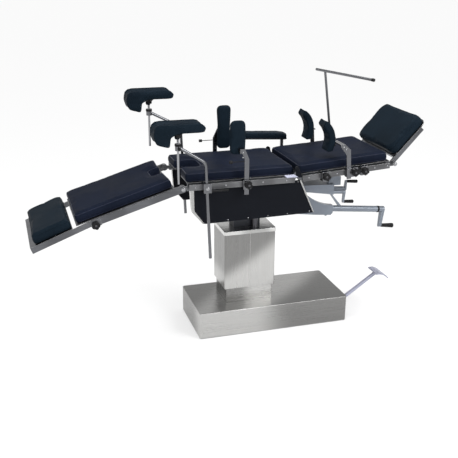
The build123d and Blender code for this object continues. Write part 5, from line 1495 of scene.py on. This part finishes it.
@dataclass
class RailClamps:
    """The hooked clamps on the rails and their hand knobs."""

    seat_up: float = 881 * MM
    seat_knob_out: float = 264.3 * MM
    seat_knobs: tuple[tuple[str, float, int], ...] = (
        ("near_seat", -68 * MM, NEAR), ("far_seat", -95 * MM, FAR),
    )
    seat_black_from: float = 264.4 * MM
    crutch_clamp_at: float = -286 * MM
    crutch_clamp_half: float = 50 * MM
    back_up: float = -56 * MM
    back_knob_out: float = 264 * MM
    back_knobs: tuple[tuple[str, float, int], ...] = (
        ("near_shoulder", 312 * MM, NEAR), ("far_shoulder", 312 * MM, FAR), ("spare", 369 * MM, NEAR),
    )
    back_black_from: float = 264.1 * MM
    screen_clamp_from: float = 595 * MM
    turning_knob: Triple = mm(148, -264.5, -56)
    channel_knob: Triple = mm(-470, 234.5, -10)

    def build(self, shop: Workshop) -> None:
        """Dress the clamps, blacken their knobs and crown them.

        Args:
            shop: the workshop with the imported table.
        """
        shop.dress("seat_rail_clamps", ROD_STEEL, (BLACK_PLASTIC, self._on_seat_knob))
        shop.dress("back_rail_clamps", ROD_STEEL, (BLACK_PLASTIC, self._on_back_knob))
        for name, along, side in self.seat_knobs:
            place = (along, side * self.seat_knob_out, self.seat_up)
            shop.knob(f"{name}_knob_face", SEAT, place, side, "seat")
        for name, along, side in self.back_knobs:
            place = (along, side * self.back_knob_out, self.back_up)
            shop.knob(f"{name}_knob_face", BACK, place, side, "back")
        shop.knob("back_clamp_knob", BACK, self.turning_knob, NEAR, "clamp_knob", "back_knob")
        along, out, up = self.channel_knob
        for side, name in SIDE_NAMES.items():
            shop.knob(f"{name}_channel_knob", LEG, (along, side * out, up), side, f"{name}_slide_knob",
                      f"{name}_foot_knob")

    def _on_seat_knob(self, place: Vector) -> bool:
        """Tell whether a point of the seat's clamps is on a knob; the crutches' clamps have none."""
        beside = abs(place.x - self.crutch_clamp_at) > self.crutch_clamp_half
        return beside and abs(place.y) > self.seat_black_from

    def _on_back_knob(self, place: Vector) -> bool:
        """Tell whether a point of the back's clamps is on a knob; the screen's clamp has none."""
        return abs(place.y) > self.back_black_from and not (place.y > 0 and place.x > self.screen_clamp_from)


@dataclass
class LegCrutches:
    """The bent rods on the seat's rails, their posts and the padded saddles."""

    rod_out: float = 262 * MM
    collars: tuple[tuple[int, float, float], ...] = ((NEAR, *mm(-432, 1102)), (FAR, *mm(-470, 1178)))
    ring_profile: Pairs = (
        mm(14.8, 4), mm(16.6, 4.4), mm(17.0, 6), mm(17.0, 14), mm(16.4, 16), mm(14.6, 16.4),
    )
    wing_profile: Pairs = (mm(5, 12), mm(5, 22), mm(8, 23), mm(8.6, 30), mm(7, 33))
    wing_below: float = 6 * MM
    boss_profile: Pairs = (mm(9, 0), mm(16.2, 0.6), mm(17.2, 3), mm(17.2, 12), mm(22, 18), mm(30, 24))
    boss_below: float = 14 * MM
    saddle_above: float = 60 * MM
    clamp_bolt: Triple = mm(-286, 278, 881)
    clamp_bolt_radius: float = 8 * MM

    def build(self, shop: Workshop) -> None:
        """Dress the rods and posts, fit the collars' screws and make the saddles.

        Args:
            shop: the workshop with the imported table.
        """
        up = Vector((0, 0, 1))
        for side, x, z in self.collars:
            name = SIDE_NAMES[side]
            out = Vector((0, side, 0))
            at = Vector((x, side * self.rod_out, z))
            shop.dress(f"{name}_crutch_rod", ROD_STEEL)
            shop.dress(f"{name}_crutch_post", CHROME)
            ring = Shapes.lathe(self.ring_profile, Shapes.placed(up, at), 36)
            shop.add(f"{name}_collar_ring", [ring], BLACK_PLASTIC, f"{name}_rod", Slot.KNOB, 50)
            wing = Shapes.lathe(self.wing_profile, Shapes.placed(out, at - up * self.wing_below), 20)
            shop.add(f"{name}_collar_screw", [wing], BLACK_PLASTIC, f"{name}_rod", Slot.KNOB)
            boss_at = at + up * (self.saddle_above - self.boss_below)
            boss = Shapes.lathe(self.boss_profile, Shapes.placed(up, boss_at), 32)
            shop.add(f"{name}_saddle_boss", [boss], BLACK_PLASTIC, f"{name}_saddle", Slot.KNOB, 50)
            section = Section(f"{name}_saddle", Vector((x, side * self.rod_out, z + self.saddle_above)))
            saddle = SoftPad.small(f"{name}_crutch_saddle", section, (((0, 1, 0), 0.12), ((0, 1, 0), 0.88)),
                                   crease=0.0008)
            saddle.build(shop.frame, shop.groups)
            bolt_x, bolt_out, bolt_z = self.clamp_bolt
            bolt = Shapes.hex_bolt(Vector((bolt_x, side * bolt_out, bolt_z)), out, self.clamp_bolt_radius)
            shop.add(f"{name}_crutch_clamp_bolt", bolt, CHROME, "seat", Slot.CHROME)


@dataclass
class SideSupports:
    """The upright pads that hold a person's sides, on straps from the seat's rails."""

    supports: tuple[tuple[int, float, float, float, float], ...] = (
        (NEAR, *mm(-73, -107, 1027, 1205)), (FAR, *mm(-100, -63, 962, 1208)))
    strap_out: float = 254 * MM
    pad_out: float = 200 * MM
    screw_share: float = 0.62
    screw_heights: tuple[float, ...] = mm(1024, 1048)
    screw_radius: float = 4.5 * MM
    lever_past: float = 13 * MM
    lever_below: float = 1020 * MM

    def build(self, shop: Workshop) -> None:
        """Dress the straps, screw the pads on and make them.

        Args:
            shop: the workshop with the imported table.
        """
        for side, strap_x, pad_x, low, high in self.supports:
            name = SIDE_NAMES[side]
            on_lever = partial(self._on_lever, strap_x - self.lever_past)
            shop.dress(f"{name}_side_bar", ROD_STEEL, (BLACK_PLASTIC, on_lever))
            out = Vector((0, side, 0))
            screw_x = strap_x + (pad_x - strap_x) * self.screw_share
            screws = [
                Shapes.screw(Vector((screw_x, side * self.strap_out, height)), out, self.screw_radius)
                for height in self.screw_heights
            ]
            shop.add(f"{name}_side_screws", screws, CHROME, f"{name}_side_support", Slot.CHROME)
            section = Section(f"{name}_side_support", Vector((pad_x, side * self.pad_out, (low + high) / 2)))
            pad = SoftPad.small(f"{name}_side_pad", section, (((0, 1, 0), 0.5),))
            pad.build(shop.frame, shop.groups)

    def _on_lever(self, lever_from: float, place: Vector) -> bool:
        """Tell whether a point of a strap's node is on its lever."""
        return place.x < lever_from and place.z < self.lever_below


@dataclass
class ShoulderSupports:
    """The crescent pads that hold the shoulders, on straps from the back's rails."""

    strap_out: float = 254 * MM
    screws: Pairs = (mm(272, 74), mm(256, 86))
    screw_radius: float = 4.5 * MM

    def build(self, shop: Workshop) -> None:
        """Dress the straps and make the crescents.

        Args:
            shop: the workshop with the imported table.
        """
        for side, name in SIDE_NAMES.items():
            shop.dress(f"{name}_shoulder_bar", ROD_STEEL)
            forms = []
            for along, up in self.screws:
                at = BACK.point(along, side * self.strap_out, up)
                forms.append(Shapes.screw(at, Vector((0, side, 0)), self.screw_radius))
            shop.add(f"{name}_shoulder_screws", forms, CHROME, f"{name}_shoulder", Slot.CHROME)
            section = Section(f"{name}_shoulder", BACK.origin, BACK.rise)
            crescent = SoftPad.small(f"{name}_shoulder_pad", section, (((0, 1, 0), 0.1), ((0, 1, 0), 0.9)),
                                     start_in=0.002)
            crescent.build(shop.frame, shop.groups)


@dataclass
class Armboard:
    """The padded arm rest on the far back rail."""

    section: Section = Section("armboard", Vector((333.9, 332, 969.4)) * MM, -3.5)
    board: tuple[float, float] = mm(-407, 22)
    half_width: float = 49 * MM
    thick: float = 6 * MM
    corner: float = 30 * MM
    soft: float = 0.8 * MM
    screws: Pairs = (mm(-30, 30), mm(-30, -30), mm(-120, 30), mm(-120, -30))
    screw_radius: float = 4 * MM

    def build(self, shop: Workshop) -> None:
        """Dress the bracket, cut the board and make its pad.

        Args:
            shop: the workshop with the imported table.
        """
        shop.dress("armboard_bracket", ROD_STEEL)
        board = Shapes.plate(self._outline(), self.thick, self.section.turn(), self.soft)
        shop.add("armboard_board", [board], SKIRT_ENAMEL, "armboard", Slot.COVER)
        pad = SoftPad.small("armboard_pad", self.section, (((0, 0, 1), 0.32), ((0, 0, 1), 0.86)), proud=0.003)
        pad.build(shop.frame, shop.groups)
        down = self.section.direction(0, 0, -1)
        screws = [
            Shapes.screw(self.section.point(along, across, 0), down, self.screw_radius)
            for along, across in self.screws
        ]
        shop.add("armboard_screws", screws, CHROME, "armboard", Slot.CHROME)

    def _outline(self) -> list[tuple[float, float]]:
        """Draw the board's outline with rounded corners, from its head end on the far side.

        Returns:
            Its points (along, across).
        """
        low, high = self.board
        steps, turn = 6, 15
        outline = []
        for end, across, start in ((high, 1, 0), (low, 1, 90), (low, -1, 180), (high, -1, 270)):
            x = end - math.copysign(self.corner, end)
            y = across * (self.half_width - self.corner)
            for step in range(steps + 1):
                angle = math.radians(start + turn * step)
                outline.append((x + self.corner * math.cos(angle), y + self.corner * math.sin(angle)))
        return outline


@dataclass
class Screen:
    """The pole and cross bar that hold drapes clear of the face."""

    cap_y: float = -109 * MM
    bar_above: float = 1300 * MM

    def build(self, shop: Workshop) -> None:
        """Dress the screen, with black caps on its bar's ends."""
        shop.dress("screen", ROD_STEEL, (BLACK_PLASTIC, self._on_cap))

    def _on_cap(self, place: Vector) -> bool:
        """Tell whether a point of the screen is on its bar's cap."""
        return place.y < self.cap_y and place.z > self.bar_above


@dataclass
class Studio:
    """The pale floor, the white surround, soft lamps and the camera."""

    lens: float = 61.24
    location: Triple = (-1.2727, -3.9022, 2.0082)
    yaw: float = -16.87
    pitch: float = 70.35
    roll: float = 0.31
    floor_size: float = 160.0
    ambient: float = 0.70
    near_glow: float = 0.5
    far_glow: float = 0.88
    overhead: float = 0.30
    glow_grows: tuple[float, float] = (0.7, 2.2)
    horizon: tuple[float, float] = (0.05, 0.7)
    floor_drop: float = 0.4 * MM
    sensor: float = 36.0
    sees_to: float = 100.0
    lit_point: Triple = (0.0, 0.0, 0.6)
    lamps: tuple[tuple[str, Triple, float, float], ...] = (
        ("key lamp", (2.6, -3.2, 3.5), 2.4, 130.0),
        ("fill lamp", (-3.2, -2.6, 2.6), 2.2, 45.0),
        ("top lamp", (0.2, 0.6, 3.8), 2.8, 90.0),
    )

    def build(self) -> None:
        """Make the stage, the lamps and the camera."""
        self._floor()
        self._surround()
        for name, place, size, power in self.lamps:
            self._lamp(name, place, size, power)
        self._camera()
        bpy.context.scene.view_settings.view_transform = "Standard"

    @staticmethod
    def _seen(tree: NodeTree) -> bpy.types.NodeSocket:
        """Find the rays that show a surface: camera, glossy and transmission rays.

        Args:
            tree: the material's or the world's tree.

        Returns:
            A socket that is 1 for those rays and 0 for all others.
        """
        path = tree.add("LightPath")
        both = tree.maths("ADD", path.outputs["Is Camera Ray"], path.outputs["Is Glossy Ray"], clamp=True)
        return tree.maths("ADD", both, path.outputs["Is Transmission Ray"], clamp=True)

    def _floor(self) -> None:
        """Lay the floor: a matt plane that keeps the table's shadow."""
        form = bmesh.new()
        bmesh.ops.create_grid(form, x_segments=8, y_segments=8, size=self.floor_size / 2)
        mesh = bpy.data.meshes.new("floor")
        form.to_mesh(mesh)
        form.free()
        floor = bpy.data.objects.new("floor", mesh)
        bpy.context.scene.collection.objects.link(floor)
        floor.location.z = -self.floor_drop
        material = bpy.data.materials.new("studio floor")
        material.use_nodes = True
        tree = NodeTree(material.node_tree)
        matt = tree.add("BsdfDiffuse", Color=(0.92, 0.92, 0.92), Roughness=0.6)
        glow = tree.add("Emission", Color=(1.0, 1.0, 1.0), Strength=1.0)
        place = tree.add("TexCoord").outputs["Object"]
        away = tree.add("VectorMath", {"operation": "LENGTH"}, n0=place).outputs[1]
        glowing = tree.spread(away, *self.glow_grows, self.near_glow, self.far_glow)
        share = tree.maths("MULTIPLY", self._seen(tree), glowing)
        both = tree.add("MixShader", n0=share, n1=matt.outputs[0], n2=glow.outputs[0])
        tree.feed(tree.add("OutputMaterial").inputs["Surface"], both.outputs[0])
        mesh.materials.append(material)

    def _surround(self) -> None:
        """Make the world white low down and dimmer overhead where it is seen, and a plain even light elsewhere.
        """
        world = bpy.data.worlds.new("studio")
        bpy.context.scene.world = world
        world.use_nodes = True
        tree = NodeTree(world.node_tree)
        way = tree.add("TexCoord").outputs["Generated"]
        height = tree.add("SeparateXYZ", Vector=way).outputs["Z"]
        shown = tree.spread(height, *self.horizon, 1.0, self.overhead)
        seen = self._seen(tree)
        strength = tree.maths("ADD", tree.maths("MULTIPLY", seen, tree.maths("SUBTRACT", shown, self.ambient)),
                              self.ambient)
        back = tree.add("Background", Color=(1.0, 1.0, 1.0), Strength=strength)
        tree.feed(tree.add("OutputWorld").inputs["Surface"], back.outputs[0])

    def _lamp(self, name: str, place: Triple, size: float, power: float) -> None:
        """Hang a square soft lamp that faces the table.

        Args:
            name: the lamp's name.
            place: where it hangs.
            size: its side.
            power: its power in watts.
        """
        data = bpy.data.lights.new(name, "AREA")
        data.shape = "SQUARE"
        data.size = size
        data.energy = power
        lamp = bpy.data.objects.new(name, data)
        bpy.context.scene.collection.objects.link(lamp)
        lamp.location = place
        lamp.rotation_euler = (Vector(self.lit_point) - Vector(place)).to_track_quat("-Z", "Y").to_euler()

    def _camera(self) -> None:
        """Stand the camera where the photograph was taken from."""
        data = bpy.data.cameras.new("camera")
        data.lens = self.lens
        data.sensor_width = self.sensor
        data.clip_end = self.sees_to
        camera = bpy.data.objects.new("camera", data)
        bpy.context.scene.collection.objects.link(camera)
        camera.matrix_world = (
            Matrix.Translation(self.location)
            @ Matrix.Rotation(math.radians(self.yaw), 4, "Z")
            @ Matrix.Rotation(math.radians(self.pitch), 4, "X")
            @ Matrix.Rotation(math.radians(self.roll), 4, "Z")
        )
        bpy.context.scene.camera = camera


def hinge_ear(place: Vector) -> bool:
    """Tell whether a point is on the hinge ears between the seat and the back.

    Args:
        place: the point.

    Returns:
        True on an ear.
    """
    foot_end, head_end, outside, above = mm(180, 250, 220, 899)
    return foot_end < place.x < head_end and abs(place.y) > outside and place.z > above


def sections() -> list[TopSection]:
    """Plan the five sections of the top with their pads.

    Returns:
        The sections: seat, back, head, leg and foot.
    """
    seat_rail_up, back_rail_up = mm(881, -56)
    top_welts = (((0, 0, 1), 0.82), ((0, 0, 1), 0.12))
    seat_pad = SoftPad("seat_pad", SEAT, SEAT_VINYL, Slot.SEAT_VINYL, welts=top_welts)
    back_pad = SoftPad("back_pad", BACK, SEAT_VINYL, Slot.SEAT_VINYL, welts=top_welts)
    head_pad = SoftPad("head_pad", HEAD, PAD_VINYL, Slot.PAD_VINYL, voxel=0.006, start_in=0.001, proud=0.003,
                       welts=top_welts)
    leg_pad = SoftPad("leg_pad", LEG, SEAT_VINYL, Slot.SEAT_VINYL, reach=mm(3, 0), welts=top_welts)
    foot_pad = SoftPad("foot_pad", FOOT, PAD_VINYL, Slot.PAD_VINYL, voxel=0.006, reach=mm(0, 5), start_in=0.001,
                       proud=0.003, welts=top_welts)
    seat_bolts = tuple((along, seat_rail_up) for along in mm(-340, -180, 20, 150))
    back_bolts = tuple((along, back_rail_up) for along in mm(60, 220, 440, 515))
    return [
        TopSection(SEAT, "seat_frame", seat_pad, "seat_rails", seat_bolts, ears=hinge_ear),
        TopSection(BACK, "back_frame", back_pad, "back_rails", back_bolts, ears=hinge_ear),
        TopSection(HEAD, "head_frame", head_pad),
        TopSection(LEG, "leg_frame", leg_pad),
        TopSection(FOOT, "foot_frame", foot_pad),
    ]


def main() -> None:
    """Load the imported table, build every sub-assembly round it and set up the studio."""
    logging.basicConfig(level=logging.INFO, format="%(name)s: %(message)s", stream=sys.stdout)
    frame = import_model()
    shop = Workshop(frame, SharedGroups())
    builders = [BaseAndColumn(), TiltingHead(), SideSkirts(), *sections(), Junctions(), Drives(), RailClamps(),
                LegCrutches(), SideSupports(), ShoulderSupports(), Armboard(), Screen()]
    for builder in builders:
        LOG.info("building %s", type(builder).__name__)
        builder.build(shop)
    Studio().build()
    LOG.info("%d new rigid pieces", len(shop.made))


if __name__ == "__main__":
    main()
